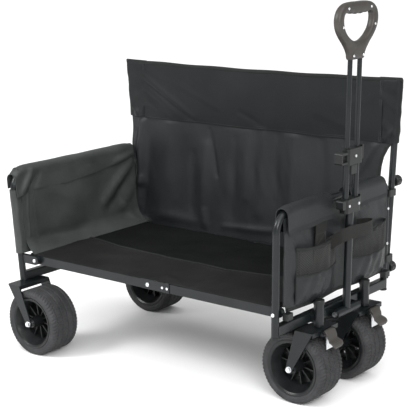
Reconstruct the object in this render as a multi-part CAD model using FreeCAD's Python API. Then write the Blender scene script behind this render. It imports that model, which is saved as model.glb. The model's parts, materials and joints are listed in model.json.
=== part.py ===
import FreeCAD, Part
import math
import os

os.makedirs("parts", exist_ok=True)

# Folding bench wagon with a pull handle. Millimetres, +Z up.
# X runs along the wagon, +X is the handle end. Y runs across it, +Y is the backrest side.

# ---- driving sizes ----
SHIFT_X = -21.6          # moves the design centre to the middle of the bounding box
SHIFT_Y = 0.0
WHEEL_R = 92.5
WHEEL_W = 98.0
RIM_R = 72.0             # where the tyre sits on the rim
AXLE_R = 6.0
POST_X = 438.0           # end hoops, at rail height
POST_Y = 248.0
TUBE_R = 9.5             # hoop tube
TUBE_WALL = 1.5
HOOP_TOP = 501.5         # centre line of the armrest tube
HOOP_BEND = 45.0
LEAN_RIGHT = 1.1         # degrees outwards
LEAN_LEFT = 4.6
PIVOT_Z = 262.0          # fold pivots and rail centre line
PIVOT_MID_X = 28.0       # centre hinge of the rails
PIVOT_LEFT_X = -382.0    # same distance from the centre hinge as the right post
RAIL_H = 24.0
RAIL_T = 12.0
RAIL_Y = 231.5
FLOOR_Z = 268.0          # underside of the floor boards
FLOOR_T = 7.0
FLOOR_Y = 222.0
BAR_T = 20.0             # lower cross bars, along X
BAR_H = 25.0
BAR_RIGHT_Z = 220.5
BAR_LEFT_Z = 210.5
STEM_X = 466.0           # swivel axis of the front casters
STEM_Y = 105.0
STEM_R = 12.5
TRAIL = 50.0
CROWN_Z = 197.0          # top of the fork crowns
CROWN_T = 3.5
FORK_GAP = 4.0           # tyre to fork leg
FORK_T = 4.0
LEFT_AXLE_X = -370.0
LEFT_WHEEL_Y = 240.0
HANDLE_X = 478.0         # pull handle pivot
HANDLE_Z = 217.0
HANDLE_LEAN = 1.75
PAIR_Y = 21.5            # half the spacing of the paired handle tubes
POST_BACK_Y = 267.7      # backrest posts
POST_BACK_R = 9.0
BACK_TOP = 766.0
BACK_SEAM = 603.0
CLOTH = 2.5              # fabric panels

NODES = {}


def vec(x, y, z):
    return FreeCAD.Vector(x, y, z)


def box(x0, x1, y0, y1, z0, z1):
    return Part.makeBox(x1 - x0, y1 - y0, z1 - z0, vec(x0, y0, z0))


def cyl(x, y, z, axis, r, length):
    """A cylinder centred on a point, along X, Y or Z."""
    d = {"x": vec(1, 0, 0), "y": vec(0, 1, 0), "z": vec(0, 0, 1)}[axis]
    start = vec(x, y, z) - d * (length / 2.0)
    return Part.makeCylinder(r, length, start, d)


def rod(a, b, r):
    d = b - a
    return Part.makeCylinder(r, d.Length, a, d)


def prism(points, direction):
    """A flat outline of (x, y, z) points pushed along a direction."""
    loop = [vec(*p) for p in points]
    loop.append(loop[0])
    return Part.Face(Part.makePolygon(loop)).extrude(direction)


def fuse(shapes):
    whole = shapes[0].multiFuse(shapes[1:]) if len(shapes) > 1 else shapes[0]
    return whole.removeSplitter()


def soften(shape, radius, wanted):
    """Rounds the edges that a test picks, and leaves the shape alone where it can't."""
    edges = [e for e in shape.Edges if wanted(e)]
    try:
        out = shape.makeFillet(radius, edges)
        return out if out.isValid() else shape
    except Exception:
        return shape


def along(axis):
    def test(e):
        if len(e.Vertexes) < 2:
            return False
        d = e.Vertexes[1].Point - e.Vertexes[0].Point
        parts = {"x": abs(d.x), "y": abs(d.y), "z": abs(d.z)}
        return parts[axis] > 0.99 * d.Length
    return test


def spun(x, y, z, profile):
    """Turns (radius, y offset) points round an axle along Y."""
    loop = [vec(x + r, y + t, z) for r, t in profile]
    loop.append(loop[0])
    face = Part.Face(Part.makePolygon(loop))
    return face.revolve(vec(x, y, z), vec(0, 1, 0), 360)


def bent_path(points, bend):
    """A wire through points with arcs of the bend radius at the inner ones."""
    edges = []
    last = points[0]
    for i in range(1, len(points) - 1):
        p = points[i]
        a = (points[i - 1] - p).normalize()
        b = (points[i + 1] - p).normalize()
        half = a.getAngle(b) / 2.0
        cut = bend / math.tan(half)
        start = p + a * cut
        end = p + b * cut
        middle = (a + b).normalize() * (bend / math.sin(half) - bend)
        edges.append(Part.makeLine(last, start))
        edges.append(Part.Arc(start, p + middle, end).toShape())
        last = end
    edges.append(Part.makeLine(last, points[-1]))
    return Part.Wire(edges)


def swept(points, bend, r):
    path = bent_path(points, bend)
    d = points[1] - points[0]
    ring = Part.Wire(Part.makeCircle(r, points[0], d))
    return path.makePipeShell([ring], True, False)


def tube(points, bend, r, wall):
    return swept(points, bend, r).cut(swept(points, bend, r - wall))


def tilt(shape, x, z, degrees):
    """Leans a shape about a line along Y, its top towards +X."""
    out = shape.copy()
    out.rotate(vec(x, 0, z), vec(0, 1, 0), degrees)
    return out


def mirror_y(shape):
    return shape.mirror(vec(0, 0, 0), vec(0, 1, 0))


def bolt(x, y, z, side, shank_r, shank, head_r, head):
    """A dome-headed bolt along Y. Its head is on the side given, the shank runs the other way."""
    neck = cyl(x, y - side * shank / 2.0, z, "y", shank_r, shank)
    cap = cyl(x, y + side * head / 2.0, z, "y", head_r, head)
    cap = cap.makeChamfer(head * 0.35, [cap.Edges[0 if side > 0 else 2]])
    return fuse([neck, cap])


def place(name, shapes):
    if not isinstance(shapes, list):
        shapes = [shapes]
    moved = []
    for s in shapes:
        t = s.copy()
        t.translate(vec(SHIFT_X, SHIFT_Y, 0))
        moved.append(t)
    shape = moved[0] if len(moved) == 1 else Part.makeCompound(moved)
    NODES[name] = shape
    shape.exportStep("parts/" + name + ".step")


# ---- end hoops ----
def hoop(x, foot):
    near = [vec(x, -POST_Y, foot), vec(x, -POST_Y, HOOP_TOP)]
    far = [vec(x, POST_Y, HOOP_TOP), vec(x, POST_Y, foot)]
    return near + far


def pivot_holes(x, r):
    return [cyl(x, s * POST_Y, PIVOT_Z, "y", r, 60.0) for s in (-1, 1)]


right_points = hoop(POST_X, 205.0)
left_points = hoop(-POST_X, 180.0)
right_full = tilt(swept(right_points, HOOP_BEND, TUBE_R), POST_X, PIVOT_Z, LEAN_RIGHT)
left_full = tilt(swept(left_points, HOOP_BEND, TUBE_R), -POST_X, PIVOT_Z, -LEAN_LEFT)
hoop_right = tilt(tube(right_points, HOOP_BEND, TUBE_R, TUBE_WALL), POST_X, PIVOT_Z, LEAN_RIGHT)
hoop_left = tilt(tube(left_points, HOOP_BEND, TUBE_R, TUBE_WALL), -POST_X, PIVOT_Z, -LEAN_LEFT)
BOLT_R = 3.0
BORE_R = 3.08
for hole in pivot_holes(POST_X, BOLT_R + 0.05):
    hoop_right = hoop_right.cut(hole)
below_crown = box(-520, -380, -300, 300, 150, CROWN_Z + 0.1)
hoop_left = hoop_left.cut(below_crown)


# ---- backrest posts ----
def back_post(x_low, lean):
    z_low = 228.0
    z_top = BACK_TOP - 3.0
    dx = math.tan(math.radians(lean))
    a = vec(x_low + dx * (z_low - 255.0), POST_BACK_Y, z_low)
    b = vec(x_low + dx * (z_top - 255.0), POST_BACK_Y, z_top)
    return a, b


POST_RIGHT = back_post(433.0, 3.37)
POST_LEFT = back_post(-436.0, -3.9)


def post_x(ends, z):
    a, b = ends
    return a.x + (b.x - a.x) * (z - a.z) / (b.z - a.z)


KNOB_LOW_Z = 255.0
KNOB_HIGH_Z = 493.0
KNOB_STUD_R = 4.0


def post_with_holes(ends):
    a, b = ends
    post = rod(a, b, POST_BACK_R).cut(rod(a - (b - a), b + (b - a), POST_BACK_R - 1.4))
    for z in (KNOB_LOW_Z, KNOB_HIGH_Z):
        post = post.cut(cyl(post_x(ends, z), POST_BACK_Y, z, "y", KNOB_STUD_R + 0.05, 60.0))
    return post


place("back_post_right", post_with_holes(POST_RIGHT))
place("back_post_left", post_with_holes(POST_LEFT))


def knob(ends, z):
    """A fluted clamping knob with a stud, behind the backrest post."""
    x = post_x(ends, z)
    y0 = POST_BACK_Y + POST_BACK_R + 1.2
    body = cyl(x, y0 + 12.0, z, "y", 14.5, 24.0)
    body = body.makeFillet(4.5, [body.Edges[0], body.Edges[2]])
    for i in range(8):
        t = math.radians(45.0 * i + 22.5)
        flute = cyl(x + 17.2 * math.cos(t), y0 + 10.0, z + 17.2 * math.sin(t), "y", 4.0, 36.0)
        body = body.cut(flute)
    collar = cyl(x, y0 + 0.1, z, "y", 8.0, 0.6)
    stud = cyl(x, y0 - 7.0, z, "y", KNOB_STUD_R, 16.0)
    return fuse([body, collar, stud])


place("knob_right_high", knob(POST_RIGHT, KNOB_HIGH_Z))
place("knob_right_low", knob(POST_RIGHT, KNOB_LOW_Z))
place("knob_left_high", knob(POST_LEFT, KNOB_HIGH_Z))
place("knob_left_low", knob(POST_LEFT, KNOB_LOW_Z))


def post_clamp(ends, lean_x, lean, full):
    """Moulded saddles that hold a backrest post against the rear leg of its hoop."""
    out = []
    for z in (KNOB_LOW_Z + 32.0, KNOB_HIGH_Z - 27.0):
        xp = post_x(ends, z)
        xh = lean_x + math.tan(math.radians(lean)) * (z - PIVOT_Z)
        x0 = min(xp, xh) - 12.0
        x1 = max(xp, xh) + 12.0
        b = soften(box(x0, x1, 242.0, 276.0, z - 9.0, z + 9.0), 4.0, along("z"))
        b = b.cut(full)
        a, c = ends
        b = b.cut(rod(a, c, POST_BACK_R + 0.05))
        solids = sorted(b.Solids, key=lambda s: s.Volume)
        out.append(solids[-1])
    return out


place("post_clamp_right", post_clamp(POST_RIGHT, POST_X, LEAN_RIGHT, right_full))
place("post_clamp_left", post_clamp(POST_LEFT, -POST_X, -LEAN_LEFT, left_full))

# ---- lower cross bars ----
def cross_bar(x, z, full):
    outer = box(x - BAR_T / 2, x + BAR_T / 2, -POST_Y, POST_Y, z - BAR_H / 2, z + BAR_H / 2)
    outer = soften(outer, 3.0, along("y"))
    w = 1.8
    inner = box(x - BAR_T / 2 + w, x + BAR_T / 2 - w, -POST_Y, POST_Y, z - BAR_H / 2 + w, z + BAR_H / 2 - w)
    bar = outer.cut(full).cut(inner)
    solids = sorted(bar.Solids, key=lambda s: s.Volume)
    return solids[-1]


place("cross_bar_right", cross_bar(POST_X, BAR_RIGHT_Z, right_full))
place("cross_bar_left", cross_bar(-POST_X + 4.0, BAR_LEFT_Z, left_full))
place("hoop_right", hoop_right)
place("hoop_left", hoop_left)

# ---- fold rails, front and rear ----
MID_END = 31.5           # the right rail stops this far from the centre hinge


def rail(x0, x1, round_left, round_right, holes):
    """A flat rail with rounded ends where it turns on a bolt."""
    half_t = RAIL_T / 2
    half_h = RAIL_H / 2
    parts = [box(x0, x1, RAIL_Y - half_t, RAIL_Y + half_t, PIVOT_Z - half_h, PIVOT_Z + half_h)]
    if round_left:
        parts.append(cyl(x0, RAIL_Y, PIVOT_Z, "y", RAIL_H / 2, RAIL_T))
    if round_right:
        parts.append(cyl(x1, RAIL_Y, PIVOT_Z, "y", RAIL_H / 2, RAIL_T))
    out = fuse(parts)
    for x in holes:
        out = out.cut(cyl(x, RAIL_Y, PIVOT_Z, "y", BORE_R, 60.0))
    return out


rail_right = rail(PIVOT_MID_X + MID_END, POST_X, False, True, [POST_X])
rail_left = rail(PIVOT_LEFT_X, PIVOT_MID_X, True, True, [PIVOT_LEFT_X, PIVOT_MID_X])
place("rails_right", [mirror_y(rail_right), rail_right])
place("rails_left", [mirror_y(rail_left), rail_left])


def hinge_channel():
    """A folded steel channel, open underneath, fixed to the right rail. The left rail turns in it."""
    x0 = PIVOT_MID_X - 22.0
    x1 = PIVOT_MID_X + 72.0
    gap = 0.25
    t = 1.6
    y0 = RAIL_Y - RAIL_T / 2 - gap
    y1 = RAIL_Y + RAIL_T / 2 + gap
    top = PIVOT_Z + RAIL_H / 2 + gap
    outer = box(x0, x1, y0 - t, y1 + t, PIVOT_Z - RAIL_H / 2, top + t)
    outer = soften(outer, 1.2, lambda e: along("x")(e) and e.BoundBox.ZMin > top)
    inner = box(x0 - 5, x1 + 5, y0, y1, PIVOT_Z - RAIL_H, top)
    out = outer.cut(inner)
    return out.cut(cyl(PIVOT_MID_X, RAIL_Y, PIVOT_Z, "y", BOLT_R + 0.02, 60.0))


def hinge_bolt(x):
    """A bolt through the channel, with a nut on the inner side."""
    outer = RAIL_Y + RAIL_T / 2 + 0.25 + 1.6
    inner = RAIL_Y - RAIL_T / 2 - 0.25 - 1.6
    b = bolt(x, outer + 0.05, PIVOT_Z, 1, BOLT_R, outer - inner + 4.0, 5.6, 3.0)
    nut = cyl(x, inner - 1.6, PIVOT_Z, "y", 4.9, 3.0).cut(cyl(x, inner, PIVOT_Z, "y", BOLT_R + 0.01, 20.0))
    return fuse([b, nut])


place("hinge_channels", [hinge_channel(), mirror_y(hinge_channel())])
mid = hinge_bolt(PIVOT_MID_X)
fasteners = [mid, mirror_y(mid)]
for x in (PIVOT_MID_X + 50.0, PIVOT_MID_X + 66.0):
    y = RAIL_Y + RAIL_T / 2 + 0.25 + 1.6
    head = cyl(x, y + 0.9, PIVOT_Z, "y", 3.4, 1.7)
    fasteners += [head, mirror_y(head)]
place("hinge_fasteners", fasteners)


def end_bolt(x, outer, inner, head_r):
    b = bolt(x, outer + 0.05, PIVOT_Z, 1, BOLT_R, outer - inner + 4.0, head_r, 3.4)
    nut = cyl(x, inner - 1.7, PIVOT_Z, "y", 4.9, 3.0).cut(cyl(x, inner, PIVOT_Z, "y", BOLT_R + 0.01, 20.0))
    return fuse([b, nut])


rail_in = RAIL_Y - RAIL_T / 2 - 0.2
near_bolt = mirror_y(end_bolt(POST_X, POST_Y + TUBE_R, rail_in, 4.8))
# the far bolt has no head, because the backrest post stands right behind it
far_bolt = end_bolt(POST_X, POST_Y + TUBE_R, rail_in, 5.4)
beyond = box(POST_X - 20, POST_X + 20, POST_Y + TUBE_R, POST_Y + 40, PIVOT_Z - 20, PIVOT_Z + 20)
far_bolt = far_bolt.cut(beyond)


def left_stub():
    """A flat arm from the left hoop to the left fold pivot, outside the rail."""
    y0 = RAIL_Y + RAIL_T / 2 + 0.8
    y1 = POST_Y + 2.0
    arm = box(-POST_X + 3.0, PIVOT_LEFT_X, y0, y1, PIVOT_Z - RAIL_H / 2, PIVOT_Z + RAIL_H / 2)
    end = cyl(PIVOT_LEFT_X, (y0 + y1) / 2, PIVOT_Z, "y", RAIL_H / 2, y1 - y0)
    out = fuse([arm, end]).cut(left_full)
    solids = sorted(out.Solids, key=lambda s: s.Volume)
    return solids[-1].cut(cyl(PIVOT_LEFT_X, POST_Y, PIVOT_Z, "y", BOLT_R + 0.02, 60.0))


place("fold_arms_left", [left_stub(), mirror_y(left_stub())])
left_bolt = end_bolt(PIVOT_LEFT_X, POST_Y + 2.0, rail_in, 5.4)
place("fold_bolts_left", [left_bolt, mirror_y(left_bolt)])

# ---- floor boards and the front wall, let down over the seat ----
FLAP_Z = FLOOR_Z + FLOOR_T + 1.4
FLAP_FRONT = 237.0


def board(x0, x1):
    b = box(x0, x1, -FLOOR_Y, FLOOR_Y, FLOOR_Z, FLOOR_Z + FLOOR_T)
    return soften(b, 2.5, along("z"))


def under_slats(xs):
    """Cross slats that carry a floor board between the two rails."""
    out = []
    y = RAIL_Y - RAIL_T / 2 - 0.3
    for x in xs:
        s = box(x - 11.0, x + 11.0, -y, y, FLOOR_Z - 8.3, FLOOR_Z - 0.3)
        out.append(soften(s, 1.5, along("y")))
    return out


place("floor_right", board(PIVOT_MID_X + 0.6, POST_X - 33.0))
place("floor_left", board(PIVOT_LEFT_X - 20.0, PIVOT_MID_X - 0.6))
place("slats_right", under_slats([PIVOT_MID_X + 110.0, POST_X - 70.0]))
place("slats_left", under_slats([PIVOT_LEFT_X + 60.0, PIVOT_MID_X - 100.0]))
flap_right = box(PIVOT_MID_X + 0.6, POST_X - 25.0, -FLAP_FRONT, -12.0, FLAP_Z, FLAP_Z + CLOTH)
flap_left = box(PIVOT_LEFT_X - 18.0, PIVOT_MID_X - 0.6, -FLAP_FRONT, -12.0, FLAP_Z, FLAP_Z + CLOTH)
# the hinge channel needs room to turn under the left flap's corner
notch = box(PIVOT_MID_X - 34.0, PIVOT_MID_X, -FLAP_FRONT - 1.0, -222.5, FLAP_Z - 5, FLAP_Z + 5)
flap_left = flap_left.cut(notch)
place("front_wall_right", soften(flap_right, 6.0, along("z")))
place("front_wall_left", soften(flap_left, 6.0, along("z")))


# ---- fabric end panels ----
def sleeve_y(x, z, y0, y1):
    return rod(vec(x, y0, z), vec(x, y1, z), TUBE_R + 0.4 + CLOTH).cut(
        rod(vec(x, y0 - 1, z), vec(x, y1 + 1, z), TUBE_R + 0.4))


face = TUBE_R + 0.4
panel = box(POST_X + face, POST_X + face + CLOTH, -236.0, 236.0, 243.0, HOOP_TOP)
armrest = sleeve_y(POST_X, HOOP_TOP, -200.0, 200.0)
gap_cut = box(POST_X - 30, POST_X + face - 0.2, -44.0, 44.0, HOOP_TOP - 30, HOOP_TOP + 30)
top_cut = box(POST_X - 30, POST_X + 30, -44.0, 44.0, HOOP_TOP - 6.0, HOOP_TOP + 30)
corner_cuts = [box(POST_X, POST_X + 30, 200.0, 260.0, HOOP_TOP - 48.0, HOOP_TOP + 30)]
corner_cuts.append(box(POST_X, POST_X + 30, 224.5, 260.0, 200.0, PIVOT_Z + 11.0))
corner_cuts += [mirror_y(c) for c in corner_cuts]
end_right = fuse([panel, armrest]).cut(gap_cut).cut(top_cut)
for c in corner_cuts:
    end_right = end_right.cut(c)
end_right = sorted(end_right.Solids, key=lambda s: s.Volume)[-1]
place("end_panel_right", tilt(end_right, POST_X, PIVOT_Z, LEAN_RIGHT))

panel = box(-POST_X + face, -POST_X + face + CLOTH, -POST_Y, 236.0, 277.0, HOOP_TOP)
armrest = sleeve_y(-POST_X, HOOP_TOP, -202.0, 202.0)
front_sleeve = rod(vec(-POST_X, -POST_Y, 277.0), vec(-POST_X, -POST_Y, 455.0), face + CLOTH).cut(
    rod(vec(-POST_X, -POST_Y, 270.0), vec(-POST_X, -POST_Y, 470.0), face))
corner_cuts = [box(-POST_X - 30, -POST_X + 30, 202.0, 260.0, HOOP_TOP - 48.0, HOOP_TOP + 30)]
corner_cuts.append(mirror_y(corner_cuts[0]))
end_left = fuse([panel, armrest, front_sleeve])
for c in corner_cuts:
    end_left = end_left.cut(c)
end_left = sorted(end_left.Solids, key=lambda s: s.Volume)[-1]
place("end_panel_left", tilt(end_left, -POST_X, PIVOT_Z, -LEAN_LEFT))


# ---- backrest ----
def back_panel():
    """The lower wall leans back to the posts. Above the seam it is sewn into a sleeve on each post."""
    low = 233.0
    high = POST_BACK_Y - POST_BACK_R - 0.5 - CLOTH
    outline = [
        (0, low, 281.0),
        (0, low + CLOTH, 281.0),
        (0, high + CLOTH, BACK_SEAM),
        (0, high + CLOTH, BACK_TOP),
        (0, high, BACK_TOP),
        (0, high, BACK_SEAM),
    ]
    sheet = prism([(x - 500.0, y, z) for x, y, z in outline], vec(1000.0, 0, 0))
    left_top = post_x(POST_LEFT, BACK_TOP)
    right_top = post_x(POST_RIGHT, BACK_TOP)
    left_seam = post_x(POST_LEFT, BACK_SEAM)
    right_seam = post_x(POST_RIGHT, BACK_SEAM)
    edge = [
        (-421.0, 200.0, 281.0),
        (421.0, 200.0, 281.0),
        (421.0, 200.0, 525.0),
        (432.0, 200.0, 560.0),
        (right_seam, 200.0, BACK_SEAM),
        (right_top, 200.0, BACK_TOP),
        (left_top, 200.0, BACK_TOP),
        (left_seam, 200.0, BACK_SEAM),
        (-432.0, 200.0, 560.0),
        (-421.0, 200.0, 525.0),
    ]
    wall = sheet.common(prism(edge, vec(0, 100.0, 0)))
    parts = [wall]
    hollows = []
    for ends in (POST_LEFT, POST_RIGHT):
        a = vec(post_x(ends, BACK_SEAM), POST_BACK_Y, BACK_SEAM)
        b = vec(post_x(ends, BACK_TOP), POST_BACK_Y, BACK_TOP)
        d = b - a
        outer = rod(a, b, POST_BACK_R + 0.5 + CLOTH)
        parts.append(outer)
        hollows.append(rod(a - d * 0.2, b - d * 0.015, POST_BACK_R + 0.5))
    whole = parts[0].multiFuse(parts[1:])
    for h in hollows:
        whole = whole.cut(h)
    return whole


place("back_panel", back_panel())


# ---- pockets on the handle end ----
def pocket(y0, y1, z0, z1, bulge):
    x0 = POST_X + face + CLOTH + 0.8 + math.tan(math.radians(LEAN_RIGHT)) * (z1 - PIVOT_Z)
    w = 2.0
    outer = box(x0, x0 + bulge, y0, y1, z0, z1)
    outer = soften(outer, 9.0, lambda e: along("z")(e) and e.BoundBox.XMin > x0 + bulge / 2)
    inner = box(x0 + w, x0 + bulge - w, y0 + w, y1 - w, z0 + w, z1 + 10.0)
    inner = soften(inner, 7.5, lambda e: along("z")(e) and e.BoundBox.XMin > x0 + bulge / 2)
    return outer.cut(inner)


place("pockets", [pocket(-172.0, -18.0, 276.0, 392.0, 26.0), pocket(62.0, 222.0, 276.0, 392.0, 26.0)])


# ---- webbing strap that keeps the handle upright ----
def strap():
    x0 = POST_X + face + CLOTH + 1.0 + math.tan(math.radians(LEAN_RIGHT)) * (446.0 - PIVOT_Z)
    t = 1.8
    z0 = 396.0
    z1 = 430.0
    run = [(x0, -62.0), (x0 + 46.0, -19.0), (x0 + 46.0, 19.0), (x0, 128.0)]
    inner = [(x0 + t * 1.6, -62.0 - t * 0.2), (x0 + 46.0 + t, -19.0 - t * 0.6)]
    inner += [(x0 + 46.0 + t, 19.0 + t * 0.4), (x0 + t * 1.2, 128.0 + t * 1.0)]
    loop = run + inner[::-1]
    band = prism([(x, y, z0) for x, y in loop], vec(0, 0, z1 - z0))
    tab = box(x0, x0 + t, -100.0, -60.0, z0, 446.0)
    far_tab = box(x0, x0 + t, 126.0, 160.0, z0, z1)
    return fuse([band, tab, far_tab])


place("strap", strap())


# ---- front caster mounting ----
def stem_housing(y):
    body = rod(vec(STEM_X, y, CROWN_Z + 2.0), vec(STEM_X, y, 256.0), STEM_R)
    body = body.cut(rod(vec(STEM_X, y, 190.0), vec(STEM_X, y, 250.0), 8.05))
    web = box(POST_X + BAR_T / 2 + 0.05, STEM_X, y - 10.0, y + 10.0, BAR_RIGHT_Z - 11.0, BAR_RIGHT_Z + 11.0)
    web = web.cut(rod(vec(STEM_X, y, 190.0), vec(STEM_X, y, 250.0), 8.05))
    return fuse([body, web])


def stem_cap(y):
    body = rod(vec(STEM_X, y, 256.05), vec(STEM_X, y, 268.0), 14.0)
    body = body.makeFillet(2.5, [body.Edges[0]])
    return body


place("stem_housings", [stem_housing(-STEM_Y), stem_housing(STEM_Y)])

T_HALF = 46.0
T_R = 11.0
block = box(POST_X + BAR_T / 2 + 0.05, POST_X + BAR_T / 2 + 14.0, -78.0, 78.0, BAR_RIGHT_Z - 11.0, 238.0)
block = soften(block, 3.0, along("y"))
cheeks = []
for s in (-1, 1):
    y0 = s * (T_HALF + 0.6)
    y1 = s * (T_HALF + 4.6)
    low_z = HANDLE_Z - 11.0
    plate = box(POST_X + BAR_T / 2 + 8.0, HANDLE_X, min(y0, y1), max(y0, y1), low_z, low_z + 22.0)
    end = cyl(HANDLE_X, (y0 + y1) / 2, HANDLE_Z, "y", 11.0, 4.0)
    cheeks += [plate, end]
clevis = fuse([block] + cheeks).cut(cyl(HANDLE_X, 0, HANDLE_Z, "y", 4.02, 200.0))
place("handle_clevis", clevis)
pin = cyl(HANDLE_X, 0, HANDLE_Z, "y", 4.0, 2 * T_HALF + 12.0)
head_a = cyl(HANDLE_X, -(T_HALF + 4.7 + 1.8), HANDLE_Z, "y", 6.6, 3.6)
head_b = cyl(HANDLE_X, T_HALF + 4.7 + 1.8, HANDLE_Z, "y", 6.2, 3.6)
place("bolts_right", [near_bolt, far_bolt, fuse([pin, head_a, head_b])])

# ---- plastic feet and end blocks of the right hoop ----
feet = []
for s in (-1, 1):
    foot_x = POST_X - 1.1
    feet.append(rod(vec(foot_x, s * POST_Y, 200.0), vec(foot_x, s * POST_Y, 204.6), TUBE_R + 0.8))
near_block = soften(box(POST_X + 10.4, POST_X + 27.0, -236.0, -212.0, 246.0, 262.0), 2.0, along("z"))
far_block = mirror_y(near_block)
clear = box(POST_X - 30, POST_X + face + CLOTH + 0.3, -260, 260, 230.0, 290.0)
clear = tilt(clear, POST_X, PIVOT_Z, LEAN_RIGHT)
caps = [stem_cap(-STEM_Y), stem_cap(STEM_Y), near_block.cut(clear), far_block.cut(clear)]
place("plastic_caps_right", feet + caps)


# ---- wheels ----
def tyre(x, y):
    """A wide tyre with rounded shoulders and four running grooves."""
    h = WHEEL_W / 2
    profile = [(RIM_R, -h + 3.0), (RIM_R + 6.0, -h), (WHEEL_R - 11.0, -h + 0.6), (WHEEL_R - 4.0, -h + 4.0)]
    profile.append((WHEEL_R - 1.0, -h + 9.5))
    for c in (-30.0, -10.0, 10.0, 30.0):
        profile += [(WHEEL_R - 0.2, c - 2.2), (WHEEL_R - 3.2, c - 1.4), (WHEEL_R - 3.2, c + 1.4)]
        profile += [(WHEEL_R - 0.2, c + 2.2)]
        profile += [(WHEEL_R, c + 6.0)] if c < 30.0 else []
    profile += [(WHEEL_R - 1.0, h - 9.5), (WHEEL_R - 4.0, h - 4.0), (WHEEL_R - 11.0, h - 0.6)]
    profile += [(RIM_R + 6.0, h), (RIM_R, h - 3.0)]
    return spun(x, y, WHEEL_R, profile)


def wheel_rim(x, y):
    """A deep dished plastic rim with spokes on both sides of a centre web."""
    h = WHEEL_W / 2
    seat = RIM_R - 0.05
    upper = [(seat, h - 2.0), (RIM_R - 4.0, h - 2.0), (RIM_R - 8.0, h - 4.5), (RIM_R - 21.0, h - 31.0)]
    upper.append((RIM_R - 22.0, 3.0))
    lower = [(r, -along_axle) for r, along_axle in reversed(upper)]
    barrel = upper + lower
    web = [(13.0, -2.5), (RIM_R - 16.0, -2.5), (RIM_R - 16.0, 2.5), (13.0, 2.5)]
    hub = [(AXLE_R + 0.05, -h + 4.0), (13.0, -h + 4.0), (17.0, -8.0), (17.0, 8.0), (13.0, h - 4.0)]
    hub += [(AXLE_R + 0.05, h - 4.0)]
    parts = [spun(x, y, WHEEL_R, barrel), spun(x, y, WHEEL_R, web), spun(x, y, WHEEL_R, hub)]
    for i in range(10):
        spoke = box(x + 12.5, x + RIM_R - 15.0, y - 15.0, y + 15.0, WHEEL_R - 1.4, WHEEL_R + 1.4)
        spoke.rotate(vec(x, y, WHEEL_R), vec(0, 1, 0), 36.0 * i + 9.0)
        parts.append(spoke)
    out = fuse(parts)
    for i in range(5):
        t = math.radians(72.0 * i - 27.0)
        out = out.cut(cyl(x + 34.0 * math.cos(t), y, WHEEL_R + 34.0 * math.sin(t), "y", 5.0, 20.0))
    return out


def axle(x, y):
    """An axle bolt with a dome head on each fork leg."""
    reach = WHEEL_W / 2 + FORK_GAP + FORK_T + 0.05
    rod_ = cyl(x, y, WHEEL_R, "y", AXLE_R, 2 * reach + 3.0)
    parts = [rod_]
    for s in (-1, 1):
        washer = cyl(x, y + s * (reach + 0.6), WHEEL_R, "y", 7.8, 1.1)
        head = cyl(x, y + s * (reach + 3.4), WHEEL_R, "y", 6.2, 4.6)
        parts += [washer, head]
    return fuse(parts)


def fork_leg(x0, x1, top, ax, y):
    """A tapering side plate from the crown down to the axle."""
    z = WHEEL_R
    side = [(x0, y, top), (x1, y, top), (ax + 10.2, y, z + 2.0), (ax + 6.8, y, z - 7.6)]
    side.append((ax - 10.2, y, z + 1.0))
    plate = prism(side, vec(0, FORK_T, 0))
    eye = rod(vec(ax, y, z), vec(ax, y + FORK_T, z), 10.5)
    return fuse([plate, eye])


def fork(cx, cy, ax, x0, x1, pin):
    """A crown plate with turned-down lips and two legs."""
    half = WHEEL_W / 2 + FORK_GAP
    top = CROWN_Z
    crown = box(x0, x1, cy - half - FORK_T, cy + half + FORK_T, top - CROWN_T, top)
    crown = soften(crown, 4.0, along("z"))
    lip = box(x1 - 3.0, x1 - 0.02, cy - half - 1.0, cy + half + 1.0, top - 11.0, top - 0.5)
    low = box(x0 + 0.02, x0 + 3.0, cy - half + 12.0, cy + half - 12.0, top - 8.5, top - 0.5)
    parts = [crown, lip, low]
    for y in (cy - half - FORK_T, cy + half):
        parts.append(fork_leg(x0 + 1.5, x1 - 1.5, top - 1.0, ax, y))
    if pin:
        parts.append(rod(vec(cx, cy, top - 2.0), vec(cx, cy, 248.0), 8.0))
    out = fuse(parts)
    return out.cut(cyl(ax, cy, WHEEL_R, "y", AXLE_R + 0.02, 400.0))


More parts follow.
